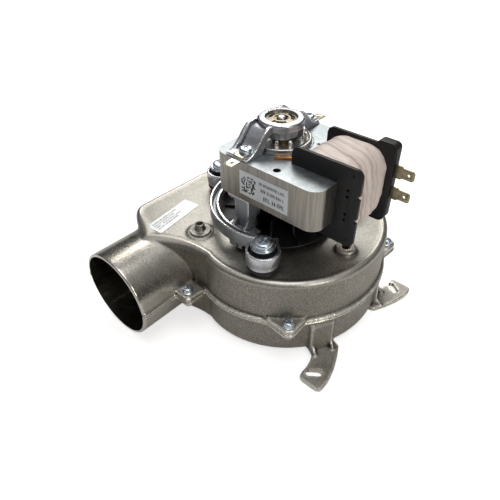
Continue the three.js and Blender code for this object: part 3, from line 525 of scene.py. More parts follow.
def circle(radius, count, x=0.0, y=0.0, start=0.0):
    return [
        (x + radius * math.cos(start + TAU * i / count), y + radius * math.sin(start + TAU * i / count))
        for i in range(count)
    ]


def arc(radius, start, end, count, x=0.0, y=0.0):
    turns = [start + (end - start) * i / (count - 1) for i in range(count)]
    return [(x + radius * math.cos(t), y + radius * math.sin(t)) for t in turns]


def rounded(x0, x1, y0, y1, r, count=8):
    """A rectangle with round corners, counterclockwise."""
    quarter = math.pi / 2
    corners = [(x1 - r, y0 + r, -1), (x1 - r, y1 - r, 0), (x0 + r, y1 - r, 1), (x0 + r, y0 + r, 2)]
    return [p for x, y, q in corners for p in arc(r, q * quarter, (q + 1) * quarter, count, x, y)]


def catmull_rom(p, q, r, s, t):
    square = 2 * p - 5 * q + 4 * r - s
    cube = 3 * q - p - 3 * r + s
    return 0.5 * (2 * q + (r - p) * t + square * t**2 + cube * t**3)


def curve(points, count):
    """A smooth line through points, with count steps between two neighbours."""
    path = [points[0], *points, points[-1]]
    line = []
    for a, b, c, d in zip(path, path[1:], path[2:], path[3:]):
        for i in range(count):
            t = i / count
            line.append(tuple(catmull_rom(p, q, r, s, t) for p, q, r, s in zip(a, b, c, d)))
    return [*line, points[-1]]


def bezier(p0, p1, p2, p3, count):
    line = []
    for i in range(1, count + 1):
        t = i / count
        weights = ((1 - t) ** 3, 3 * t * (1 - t) ** 2, 3 * t**2 * (1 - t), t**3)
        line.append(tuple(sum(w * p[k] for w, p in zip(weights, (p0, p1, p2, p3))) for k in (0, 1)))
    return line


def loft(rings, closed=True):
    """A solid through rings of points with equal counts, each ring counterclockwise seen from the last one."""
    count = len(rings[0])
    points = [p for ring in rings for p in ring]
    faces = []
    for k in range(len(rings) - 1):
        for i in range(count):
            j = (i + 1) % count
            faces.append((k * count + i, k * count + j, (k + 1) * count + j, (k + 1) * count + i))
    if closed:
        faces.append(tuple(reversed(range(count))))
        faces.append(tuple((len(rings) - 1) * count + i for i in range(count)))
    return points, faces


def prism(outline, z0, z1):
    return loft([[(x, y, z) for x, y in outline] for z in (z0, z1)])


def block(x0, x1, y0, y1, z0, z1):
    return prism([(x0, y0), (x1, y0), (x1, y1), (x0, y1)], z0, z1)


def lathe(profile, count=64, x=0.0, y=0.0, start=0.0, end=TAU):
    """A profile of (radius, z) points, up the outside and down the inside, turned about Z."""
    whole = end - start >= TAU - 1e-6
    stations = count if whole else count + 1
    turns = [start + (end - start) * i / count for i in range(stations)]
    looped = profile[0] == profile[-1]
    ring = profile[:-1] if looped else profile
    points = [(x + r * math.cos(t), y + r * math.sin(t), z) for t in turns for r, z in ring]
    faces = []
    size = len(ring)
    spans = range(stations) if whole else range(stations - 1)
    for s in spans:
        n = (s + 1) % stations
        for i in range(size if looped else size - 1):
            j = (i + 1) % size
            faces.append((s * size + i, n * size + i, n * size + j, s * size + j))
    if not whole:
        faces.append(tuple(range(size)))
        faces.append(tuple((stations - 1) * size + i for i in reversed(range(size))))
    return points, faces


def rod(radius, z0, z1, count=48, x=0.0, y=0.0):
    return prism(circle(radius, count, x, y), z0, z1)


def moved(shape, matrix):
    points, faces = shape
    return [tuple(matrix @ Vector(p)) for p in points], faces


def shift(shape, x=0.0, y=0.0, z=0.0):
    return moved(shape, Matrix.Translation((x, y, z)))


def spun(shape, angle):
    return moved(shape, Matrix.Rotation(angle, 4, "Z"))


# Turns a shape drawn in X and Y so that its outline lies in Y and Z, and its height along X.
TO_SIDE = Matrix(((0, 0, 1, 0), (1, 0, 0, 0), (0, 1, 0, 0), (0, 0, 0, 1)))
# Turns it so that its outline lies in X and Z, and its height along -Y.
TO_FRONT = Matrix(((1, 0, 0, 0), (0, 0, -1, 0), (0, 1, 0, 0), (0, 0, 0, 1)))
# Turns it so that its outline lies in X and Z, and its height along Y.
TO_DUCT = Matrix(((1, 0, 0, 0), (0, 0, 1, 0), (0, 1, 0, 0), (0, 0, 0, 1)))
UPSIDE_DOWN = Matrix.Rotation(math.pi, 4, "X")


def on_circle(radius, angle):
    return radius * math.cos(angle), radius * math.sin(angle)


# ================================================================ making pieces


def made(name, *shapes):
    """One object from shapes in millimetres about the shaft axis."""
    points, faces = [], []
    for shape_points, shape_faces in shapes:
        faces += [tuple(i + len(points) for i in face) for face in shape_faces]
        points += [tuple((Vector(p) + AXIS) * MM) for p in shape_points]
    mesh = bpy.data.meshes.new(name)
    mesh.from_pydata(points, [], faces)
    tidy = bmesh.new()
    tidy.from_mesh(mesh)
    bmesh.ops.remove_doubles(tidy, verts=tidy.verts, dist=1e-7)
    bmesh.ops.recalc_face_normals(tidy, faces=tidy.faces)
    tidy.to_mesh(mesh)
    tidy.free()
    thing = bpy.data.objects.new(name, mesh)
    bpy.context.scene.collection.objects.link(thing)
    return thing


def settle(thing):
    """Turns what the modifiers make into the object's own mesh, and removes them."""
    seen = thing.evaluated_get(bpy.context.evaluated_depsgraph_get())
    mesh = bpy.data.meshes.new_from_object(seen)
    thing.modifiers.clear()
    thing.data = mesh
    mesh.name = thing.name
    return thing


def discard(*things):
    for thing in things:
        bpy.data.objects.remove(thing)


def carve(thing, *cutters, operation="DIFFERENCE"):
    for shape in cutters:
        tool = made("tool", shape)
        modifier = thing.modifiers.new("carve", "BOOLEAN")
        modifier.operation, modifier.object, modifier.solver = operation, tool, "EXACT"
        settle(thing)
        discard(tool)
    return thing


def bevel(thing, width=0.3, segments=2, angle=35):
    modifier = thing.modifiers.new("bevel", "BEVEL")
    modifier.width, modifier.segments = width * MM, segments
    modifier.limit_method, modifier.angle_limit = "ANGLE", math.radians(angle)
    modifier.use_clamp_overlap = True
    return settle(thing)


def remesh(thing, voxel, rounds=3, keep=1.0):
    """Melts overlapping solids into one cast body, with small fillets where they meet."""
    modifier = thing.modifiers.new("remesh", "REMESH")
    modifier.mode, modifier.voxel_size = "VOXEL", voxel * MM
    smooth = thing.modifiers.new("smooth", "SMOOTH")
    smooth.factor, smooth.iterations = 0.5, rounds
    if keep < 1:
        thin = thing.modifiers.new("thin", "DECIMATE")
        thin.ratio = keep
    return settle(thing)


def mark_wear_and_painted_light(thing, gain, reach=2):
    """Stores how sharply the surface bends at each point: edge wear and a painted highlight where it bulges,
    and painted shade in its hollows and corners.
    """
    mesh = thing.data
    value = [0.0] * len(mesh.vertices)
    count = [0] * len(mesh.vertices)
    places = [v.co for v in mesh.vertices]
    normals = [v.normal for v in mesh.vertices]
    pairs = [tuple(edge.vertices) for edge in mesh.edges]
    for a, b in pairs:
        along = places[b] - places[a]
        bend = (normals[b] - normals[a]).dot(along) / max(along.length_squared, 1e-10) * MM
        for i in (a, b):
            value[i] += bend
            count[i] += 1
    value = [v / max(c, 1) for v, c in zip(value, count)]
    for _ in range(reach):
        total = list(value)
        for a, b in pairs:
            total[a] += value[b]
            total[b] += value[a]
        value = [t / (c + 1) for t, c in zip(total, count)]
    # The first value marks bulges for edge wear and a painted highlight, the second marks hollows for painted
    # shade.
    for name, sign in (("worn", 1), ("grime", -0.8)):
        attribute = mesh.attributes.new(name, "FLOAT", "POINT")
        level = [min(max(sign * v * gain - 0.15, 0.0), 1.0) for v in value]
        attribute.data.foreach_set("value", level)


def dress(thing, material, body, slot, *nodes, sharp=32):
    """Gives a finished piece its material and its body, and hides the CAD nodes that it stands for."""
    mesh = thing.data
    mesh.materials.clear()
    mesh.materials.append(material)
    mesh.shade_smooth()
    mesh.set_sharp_from_angle(angle=math.radians(sharp))
    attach(thing, body)
    if nodes:
        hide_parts(*nodes)
    return thing


def refined(node, material, width=0.2, segments=2, sharp=32):
    """A CAD node whose shape is right, with its edges broken."""
    source = frame["nodes"][node]
    thing = bpy.data.objects.new(node + "_fine", source.data.copy())
    bpy.context.scene.collection.objects.link(thing)
    tidy = bmesh.new()
    tidy.from_mesh(thing.data)
    bmesh.ops.remove_doubles(tidy, verts=tidy.verts, dist=1e-6)
    bmesh.ops.dissolve_limit(
        tidy, angle_limit=math.radians(1), verts=tidy.verts, edges=tidy.edges, delimit={"NORMAL"}
    )
    tidy.to_mesh(thing.data)
    tidy.free()
    bevel(thing, width, segments)
    slot = next(s["material_slot"] for s in frame["record"]["subparts"] if s["node"] == node)
    return dress(thing, material, source["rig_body"], slot, node, sharp=sharp)


# ================================================================ repeats by geometry nodes


def node_tree(name, sizes):
    """A tree with a geometry input and output, and named inputs for its sizes."""
    tree = bpy.data.node_groups.new(name, "GeometryNodeTree")
    tree.interface.new_socket("Geometry", in_out="OUTPUT", socket_type="NodeSocketGeometry")
    tree.interface.new_socket("Geometry", in_out="INPUT", socket_type="NodeSocketGeometry")
    for label, kind in sizes.items():
        tree.interface.new_socket(label, in_out="INPUT", socket_type=kind)
    return tree, tree.nodes.new("NodeGroupInput"), tree.nodes.new("NodeGroupOutput")


def link(tree, *pairs):
    for source, target in pairs:
        tree.links.new(source, target)


def grown(thing, tree, values):
    """Runs a tree on a piece, with its inputs set by their identifiers, and keeps the mesh."""
    modifier = thing.modifiers.new("repeat", "NODES")
    modifier.node_group = tree
    for item in tree.interface.items_tree:
        if item.in_out == "INPUT" and item.name in values:
            modifier[item.identifier] = values[item.name]
    return settle(thing)


NUMBER, WHOLE, PLACE = "NodeSocketFloat", "NodeSocketInt", "NodeSocketVector"
OBJECT, FINISH = "NodeSocketObject", "NodeSocketMaterial"


def paint_copies(tree, inlet, outlet, copies):
    """Ends a tree: the copies become real mesh and get the finish."""
    real = tree.nodes.new("GeometryNodeRealizeInstances")
    paint = tree.nodes.new("GeometryNodeSetMaterial")
    link(
        tree,
        (copies, real.inputs[0]),
        (real.outputs[0], paint.inputs["Geometry"]),
        (inlet.outputs["Finish"], paint.inputs["Material"]),
        (paint.outputs[0], outlet.inputs[0]),
    )


def copies_on_points_tree():
    """Puts a copy of a template on each point of the mesh that it runs on."""
    tree, inlet, outlet = node_tree("copies_on_points", {"Template": OBJECT, "Finish": FINISH})
    info = tree.nodes.new("GeometryNodeObjectInfo")
    copy = tree.nodes.new("GeometryNodeInstanceOnPoints")
    link(
        tree,
        (inlet.outputs["Template"], info.inputs["Object"]),
        (inlet.outputs["Geometry"], copy.inputs["Points"]),
        (info.outputs["Geometry"], copy.inputs["Instance"]),
    )
    paint_copies(tree, inlet, outlet, copy.outputs[0])
    return tree


def ring_of_copies_tree():
    """Repeats the mesh around the shaft axis, and keeps a body that the copies grow out of."""
    sizes = {"Count": WHOLE, "Centre": PLACE, "Finish": FINISH, "Body": OBJECT}
    tree, inlet, outlet = node_tree("ring_of_copies", sizes)
    row = tree.nodes.new("GeometryNodeMeshLine")
    number = tree.nodes.new("GeometryNodeInputIndex")
    share = tree.nodes.new("ShaderNodeMath")
    share.operation = "DIVIDE"
    angle = tree.nodes.new("ShaderNodeMath")
    angle.operation, angle.inputs[1].default_value = "MULTIPLY", TAU
    spin = tree.nodes.new("ShaderNodeCombineXYZ")
    copy = tree.nodes.new("GeometryNodeInstanceOnPoints")
    info = tree.nodes.new("GeometryNodeObjectInfo")
    gather = tree.nodes.new("GeometryNodeJoinGeometry")
    row.inputs["Offset"].default_value = (0, 0, 0)
    link(
        tree,
        (inlet.outputs["Count"], row.inputs["Count"]),
        (inlet.outputs["Centre"], row.inputs["Start Location"]),
        (number.outputs[0], share.inputs[0]),
        (inlet.outputs["Count"], share.inputs[1]),
        (share.outputs[0], angle.inputs[0]),
        (angle.outputs[0], spin.inputs["Z"]),
        (row.outputs[0], copy.inputs["Points"]),
        (inlet.outputs["Geometry"], copy.inputs["Instance"]),
        (spin.outputs[0], copy.inputs["Rotation"]),
        (inlet.outputs["Body"], info.inputs["Object"]),
        (copy.outputs[0], gather.inputs[0]),
        (info.outputs["Geometry"], gather.inputs[0]),
    )
    paint_copies(tree, inlet, outlet, gather.outputs[0])
    return tree


def pile_tree():
    """Piles copies of a sheet upwards."""
    tree, inlet, outlet = node_tree("pile", {"Count": WHOLE, "Pitch": NUMBER, "Finish": FINISH})
    row = tree.nodes.new("GeometryNodeMeshLine")
    lift = tree.nodes.new("ShaderNodeCombineXYZ")
    copy = tree.nodes.new("GeometryNodeInstanceOnPoints")
    link(
        tree,
        (inlet.outputs["Count"], row.inputs["Count"]),
        (inlet.outputs["Pitch"], lift.inputs["Z"]),
        (lift.outputs[0], row.inputs["Offset"]),
        (row.outputs[0], copy.inputs["Points"]),
        (inlet.outputs["Geometry"], copy.inputs["Instance"]),
    )
    paint_copies(tree, inlet, outlet, copy.outputs[0])
    return tree


COPIES_ON_POINTS = copies_on_points_tree()
RING_OF_COPIES = ring_of_copies_tree()
PILE = pile_tree()


def about_axis(thing):
    """Moves the mesh so that the shaft axis runs through the origin, as the ring of copies needs."""
    thing.data.transform(Matrix.Translation(-AXIS * MM))
    return thing


def ring_of(name, copy_shapes, body_shapes, count, material, width=0.15):
    body = bevel(made("body", *body_shapes), width)
    ring = about_axis(bevel(made(name, *copy_shapes), width))
    grown(ring, RING_OF_COPIES, {"Count": count, "Centre": AXIS * MM, "Finish": material, "Body": body})
    discard(body)
    return ring


# ================================================================ casing

# Half of the gap between the two shells, and the size of the grid that melts their solids together.
SEAM_GAP = 0.03
CASING_VOXEL = 0.75
BOSSES = [on_circle(MOUNT_CIRCLE_R, math.radians(a)) for a in (180, -60, 60, 0, 120)]


def wall_radius(angle):
    turn = (angle - SCROLL_START) / (math.pi - SCROLL_START)
    return SCROLL_START_R + (SCROLL_END_R - SCROLL_START_R) * turn**SCROLL_POWER


def casing_outline(inset, steps=110):
    """The scroll and its neck seen from above, drawn inwards by inset."""
    tip = (DUCT_X, NECK_TIP_Y + 2 * inset)
    left = -SCROLL_END_R + inset
    start = on_circle(wall_radius(SCROLL_START) - inset, SCROLL_START)
    line = bezier(tip, (tip[0] + 10.4, tip[1] + 8.5), (start[0] - 20, start[1] + 0.5), start, 18)
    for step in range(1, steps + 1):
        angle = SCROLL_START + (math.pi - SCROLL_START) * step / steps
        line.append(on_circle(wall_radius(angle) - inset, angle))
    line.append((left, NECK_CORNER_Y))
    corner = (left, NECK_CORNER_Y)
    line += bezier(corner, (left, NECK_CORNER_Y - 12), (DUCT_X - 13.6, tip[1] + 11), tip, 22)
    return line


def ring_at(inset, z):
    return [(x, y, z) for x, y in casing_outline(inset)]


def casing_body(z0, z1, fillet, bead=0.0, inset=0.0):
    """The casing's outside from z0 up to z1, its upper edge rounded and crowned by a low bead."""
    rings = [ring_at(inset, z0)]
    for i in range(9):
        t = math.pi / 2 * i / 8
        rings.append(ring_at(inset + fillet * (1 - math.cos(t)), z1 + bead - fillet * (1 - math.sin(t))))
    if bead:
        rings.append(ring_at(inset + fillet + BEAD_WIDTH * 0.4, z1 + bead * 0.8))
        rings.append(ring_at(inset + fillet + BEAD_WIDTH, z1))
    return loft(rings)


def duct_piece(radius, y0, y1, upper):
    """Half of the outlet's round wall, from the seam outwards."""
    side = (0, math.pi) if upper else (math.pi, TAU)
    return shift(moved(prism(arc(radius, *side, 61), y0, y1), TO_DUCT), DUCT_X, 0, SEAM)


def ear_tab(place, z0, z1, grow=0.0):
    """A pointed tab on the seam, as wide as a screw's washer at its tip."""
    away = math.atan2(place.y, place.x)
    reach = math.hypot(place.x, place.y)
    outer = arc(5.2 + grow, -1.05, 1.05, 12, reach + 0.4, 0)
    wide = 15.5 + grow
    flat = [(reach - 9, -wide), *outer, (reach - 9, wide)]
    return spun(prism(flat, z0, z1), away)


def neck_ear(z0, z1):
    """The block of the first screw, in the corner between the neck and the scroll."""
    x, y = EARS[0].x, EARS[0].y
    return prism(rounded(x - 6, x + 7, y - 6, y + 9, 2.5), z0, z1)


def duct_ribs(z0, z1):
    sides = (DUCT_X - DUCT_R, DUCT_X + DUCT_R)
    return [block(x - 1.4, x + 1.4, MOUTH_Y, NECK_TIP_Y + 15, z0, z1) for x in sides]


def duct_bore():
    hole = prism(circle(DUCT_R - DUCT_WALL, 96), MOUTH_Y - 2, NECK_TIP_Y + 20)
    return shift(moved(hole, TO_DUCT), DUCT_X, 0, SEAM)


def make_casing_upper():
    solids = [
        casing_body(SEAM + SEAM_GAP, PLATE, TOP_FILLET, BEAD_HEIGHT),
        duct_piece(DUCT_R, MOUTH_Y, NECK_TIP_Y + 20, True),
        prism(casing_outline(-LIP_REACH), SEAM + SEAM_GAP, SEAM + LIP_HEIGHT),
        *duct_ribs(SEAM + SEAM_GAP, SEAM + LIP_HEIGHT),
        *(ear_tab(ear, SEAM + SEAM_GAP, SEAM + 3.5) for ear in EARS[1:]),
        neck_ear(SEAM + SEAM_GAP, SEAM + 3.5),
    ]
    solids += [rod(6.5, PLATE - 1, BOSS_TOP, 48, x, y) for x, y in BOSSES]
    solids.append(rod(8.5, PLATE - 1, PLATE + 1, 64, NIPPLE.x, NIPPLE.y))
    shell = remesh(made("casing_upper_shell", *solids), CASING_VOXEL)
    carve(
        shell,
        casing_body(SEAM - 3, PLATE - CASING_WALL, 3, inset=CASING_WALL),
        duct_bore(),
        rod(5, PLATE - 5, PLATE + 1),
        rod(1.6, PLATE - 5, PLATE + 2, 24, NIPPLE.x, NIPPLE.y),
    )
    for x, y in BOSSES:
        carve(shell, rod(2.6, PLATE - 5, BOSS_TOP + 1, 24, x, y))
    for ear in EARS:
        carve(shell, rod(1.7, SEAM - 2, SEAM + 5, 20, ear.x, ear.y))
    mark_wear_and_painted_light(shell, 3.4)
    dress(shell, CAST, "housing", "cast_aluminium", "casing_upper", sharp=48)


def foot_outline(sx, sy):
    shape = [(-17, -22), (-11, -13)]
    quads = [((-11, -13), (-6, -7), (-6, 4.5)), ((-6, 4.5), (-6, 8.5), (-2, 8.5))]
    quads += [((6, 8.5), (10.5, 8.5), (10.5, 4)), ((10.5, 4), (10, -10), (0, -28))]
    for a, b, c in quads:
        for i in range(9):
            t = i / 8
            weights = (1 - t) ** 2, 2 * t * (1 - t), t * t
            shape.append(tuple(sum(w * p[k] for w, p in zip(weights, (a, b, c))) for k in (0, 1)))
    shape.append((-12, -32))
    outline = [(sx * (FOOT_X + x), sy * (FOOT_Y + y)) for x, y in shape]
    return outline if sx * sy > 0 else outline[::-1]


def foot_slot(sx, sy):
    slot = rounded(-5.25, 5.25, -2.35, 2.35, 2.34, 10)
    turned = spun(prism(slot, -1, FOOT_THICKNESS + 2), sx * sy * FOOT_SLOT_TURN)
    return shift(turned, sx * FOOT_X, sy * FOOT_Y)


def foot_block(sx, sy):
    """The upright block above a foot, and the two small ribs that run out from it."""
    angle = math.atan2(sy * (FOOT_Y - 18), sx * (FOOT_X - 6))
    wall = wall_radius(angle) if sx > 0 else SCROLL_END_R - 2
    side = [(-12, 1), (2.4, 1), (2.0, 7), (1.2, 24), (-1, 27), (-12, 27)]
    parts = [moved(prism([(wall + x, z) for x, z in side], -8, 8), TO_FRONT)]
    rib = [(wall - 2, 2), (wall + 7.5, 2), (wall + 2.5, 8), (wall - 2, 8)]
    parts += [moved(prism(rib, y - 0.9, y + 0.9), TO_FRONT) for y in (-6.5, 6.5)]
    return [spun(part, angle) for part in parts]


def make_casing_lower():
    under = Matrix.Translation((0, 0, 2 * SEAM)) @ Matrix.Scale(-1, 4, (0, 0, 1))
    solids = [
        moved(casing_body(SEAM + SEAM_GAP, 2 * SEAM, BOTTOM_FILLET), under),
        duct_piece(DUCT_R, MOUTH_Y, NECK_TIP_Y + 20, False),
        prism(casing_outline(-LIP_REACH - 0.3), SEAM - LIP_HEIGHT, SEAM - SEAM_GAP),
        *duct_ribs(SEAM - LIP_HEIGHT, SEAM - SEAM_GAP),
        *(ear_tab(ear, SEAM - 2.4, SEAM - SEAM_GAP, 0.5) for ear in EARS[1:]),
        neck_ear(SEAM - 3.2, SEAM - SEAM_GAP),
    ]
    socket = [(0, SEAM - 7), (3.4, SEAM - 7), (4.6, SEAM - 4), (4.6, SEAM - 1), (0, SEAM - 1)]
    solids += [lathe(socket, 32, ear.x, ear.y) for ear in EARS]
    for corner in FOOT_CORNERS:
        solids.append(prism(foot_outline(*corner), 0, FOOT_THICKNESS))
        solids += foot_block(*corner)
    shell = remesh(made("casing_lower_shell", *solids), CASING_VOXEL)
    carve(
        shell,
        moved(casing_body(SEAM - 3, 2 * SEAM - CASING_WALL, 3, inset=CASING_WALL), under),
        duct_bore(),
        rod(INLET_R + 3, -2, INLET_HEIGHT, 96),
        *(foot_slot(*corner) for corner in FOOT_CORNERS),
    )
    throat = [
        (INLET_THROAT_R + 3 * (1 - math.cos(t)), INLET_HEIGHT * (0.75 - 0.75 * math.sin(t)))
        for t in (0, 0.5, 1.0, 1.35)
    ]
    bell = [
        (INLET_R, 0),
        (INLET_R + 6, 0),
        (INLET_R + 6, CASING_WALL),
        (INLET_R + 1, CASING_WALL),
        (INLET_THROAT_R + 2, INLET_HEIGHT),
        (INLET_THROAT_R, INLET_HEIGHT),
        *throat,
        (INLET_R, 0),
    ]
    joined(shell, made("bellmouth", lathe(bell, 96)))
    mark_wear_and_painted_light(shell, 3.4)
    dress(shell, CAST, "housing", "cast_aluminium", "casing_lower", sharp=48)


def joined(thing, *others):
    """Adds the meshes of other objects to a piece."""
    whole = bmesh.new()
    whole.from_mesh(thing.data)
    for other in others:
        whole.from_mesh(other.data)
    whole.to_mesh(thing.data)
    whole.free()
    discard(*others)
    return thing


make_casing_upper()
make_casing_lower()


# ================================================================ screws


def screw_head(head_r, head_height, flange_r=0.0, flange_height=0.0, shank_r=1.6, shank=8.0):
    """A pan head over a flange and a threaded shank, its seat at z = 0."""
    top = flange_height + head_height
    round_off = head_r * 0.34
    turns = (0, 0.3, 0.6, 0.9, 1.2, 1.5)
    dome = [(head_r - round_off * (1 - math.cos(t)), top - 1.3 + 1.3 * math.sin(t)) for t in turns]
    flange = [(flange_r, 0), (flange_r, flange_height * 0.55)]
    flange += [(flange_r - 0.5, flange_height), (head_r + 0.2, flange_height)]
    pitch = 0.8
    thread = []
    for i in range(int(shank / pitch)):
        z = -shank + i * pitch
        thread += [(shank_r * 0.82, z), (shank_r, z + pitch * 0.5)]
    base = flange if flange_r else [(head_r, 0)]
    crown = [(head_r * 0.3, top + 0.1), (0.0, top + 0.12)]
    profile = [(0.0, -shank - 0.2), *thread, (shank_r * 0.9, 0), *base, *dome, *crown]
    return lathe(profile, 40)


def screws(name, places, z, material, nodes, **sizes):
    """The same screw at several places, each with a cross recess in its head."""
    template = made("template", screw_head(**sizes))
    head_r, top = sizes["head_r"], sizes["head_height"] + sizes.get("flange_height", 0.0)
    arm = head_r * 0.58
    quarter = [(-arm, -0.45), (-0.75, -0.45), (-0.45, -0.75), (-0.45, -arm)]
    cross = quarter + [(-x, y) for x, y in reversed(quarter)]
    cross += [(-x, -y) for x, y in cross]
    depths = ((0.35, top - 1.7), (1.0, top - 0.35), (1.0, top + 1))
    rings = [[(x * s, y * s, h) for x, y in cross] for s, h in depths]
    carve(template, loft(rings))
    about_axis(template)
    template.data.set_sharp_from_angle(angle=math.radians(30))
    mesh = bpy.data.meshes.new(name)
    mesh.from_pydata([((p.x + AXIS.x) * MM, (p.y + AXIS.y) * MM, z * MM) for p in places], [], [])
    group = bpy.data.objects.new(name, mesh)
    bpy.context.scene.collection.objects.link(group)
    grown(group, COPIES_ON_POINTS, {"Template": template, "Finish": material})
    discard(template)
    dress(group, material, "housing", "zinc_steel", *nodes, sharp=30)


screws(
    "casing_screws", EARS, SEAM + 3.6, ZINC, [f"casing_screw_{i}" for i in range(1, 7)],
    head_r=3.3, head_height=2.4, flange_r=4.2, flange_height=0.7, shank=9.5,
)
screws(
    "mount_screws", MOUNTS, EYE_TOP + 2.3, ZINC, [f"mount_screw_{i}" for i in (1, 2, 3)],
    head_r=5.7, head_height=2.8, flange_r=7.4, flange_height=1.3, shank_r=2.5, shank=20,
)
screws(
    "stack_screws", [Vector((STACK_SCREW_X, s * STACK_SCREW_Y, 0)) for s in (-1, 1)],
    STACK_TOP + PAD + 0.9, ZINC, ["stack_screw_front", "stack_screw_rear"],
    head_r=4, head_height=3, shank_r=1.95, shank=38,
)


# ================================================================ bearing brackets


HANGING_TABS = (-86, 86)


def bridge_shapes():
    """The saddle over the rotor: two side flanges, a floor between them, and the bearing hub."""
    half = STACK_HALF
    edge = curve([(half, 0.8), (32, 1.7), (28.4, 3.4), (24.4, 7), (21, 10.8), (17, 13.8), (12, 14.6)], 6)
    under = curve([(12, 10.2), (16.2, 8.4), (18.8, 5), (20.6, 1.8), (21.2, 0)], 5)
    floor = curve([(half, PAD), (27, PAD), (23.5, 3.6), (19.5, 8.2), (15.5, 11.6), (12, 12.6)], 6)

    def arch(top):
        right = [(half, 0), *top]
        left = [(-y, z) for y, z in reversed(right)]
        inner_left = [(-y, z) for y, z in reversed(under)]
        return [*right, *left, *inner_left, *under]

    sides = [(-12.5, -10.3), (1.8, 4)]
    parts = [moved(prism(arch(edge), x0, x1), TO_SIDE) for x0, x1 in sides]
    parts.append(moved(prism(arch(floor), -11.5, 3), TO_SIDE))
    hub = [(0, 4), (9.6, 4), (10.2, 5), (10.4, 9.6), (13.2, 10.2), (HUB_R, 10.8)]
    hub += [(HUB_R, HUB_TOP - 0.8), (HUB_R - 0.8, HUB_TOP), (0, HUB_TOP)]
    parts.append(lathe(hub, 72))
    return parts


def at_height(z, flip):
    """Moves a shape up to z, turned upside down first if it hangs below the stack."""
    return Matrix.Translation((0, 0, z)) @ (UPSIDE_DOWN if flip else Matrix())


def bridge_bores(z0, flip):
    """The recess for the retainer, the bearing's seat and the holes for the stack screws."""
    seat = HUB_TOP - 2.6
    bores = [rod(10, seat, HUB_TOP + 3, 64), rod(7.6, 4.5, seat + 0.1, 48), rod(5.2, 2, seat, 48)]
    bores += [rod(2.1, -1, 14, 32, STACK_SCREW_X, s * STACK_SCREW_Y) for s in (-1, 1)]
    return [moved(bore, at_height(z0, flip)) for bore in bores]


def make_upper_bracket():
    lift = Matrix.Translation((0, 0, STACK_TOP + 0.05))
    bracket = made("bearing_bracket_upper_cast", *(moved(part, lift) for part in bridge_shapes()))
    remesh(bracket, 0.4, 3, keep=0.6)
    carve(bracket, *bridge_bores(STACK_TOP + 0.05, False))
    mark_wear_and_painted_light(bracket, 2.5)
    dress(bracket, BRACKET, "housing", "bracket_aluminium", "bearing_bracket_upper", sharp=45)


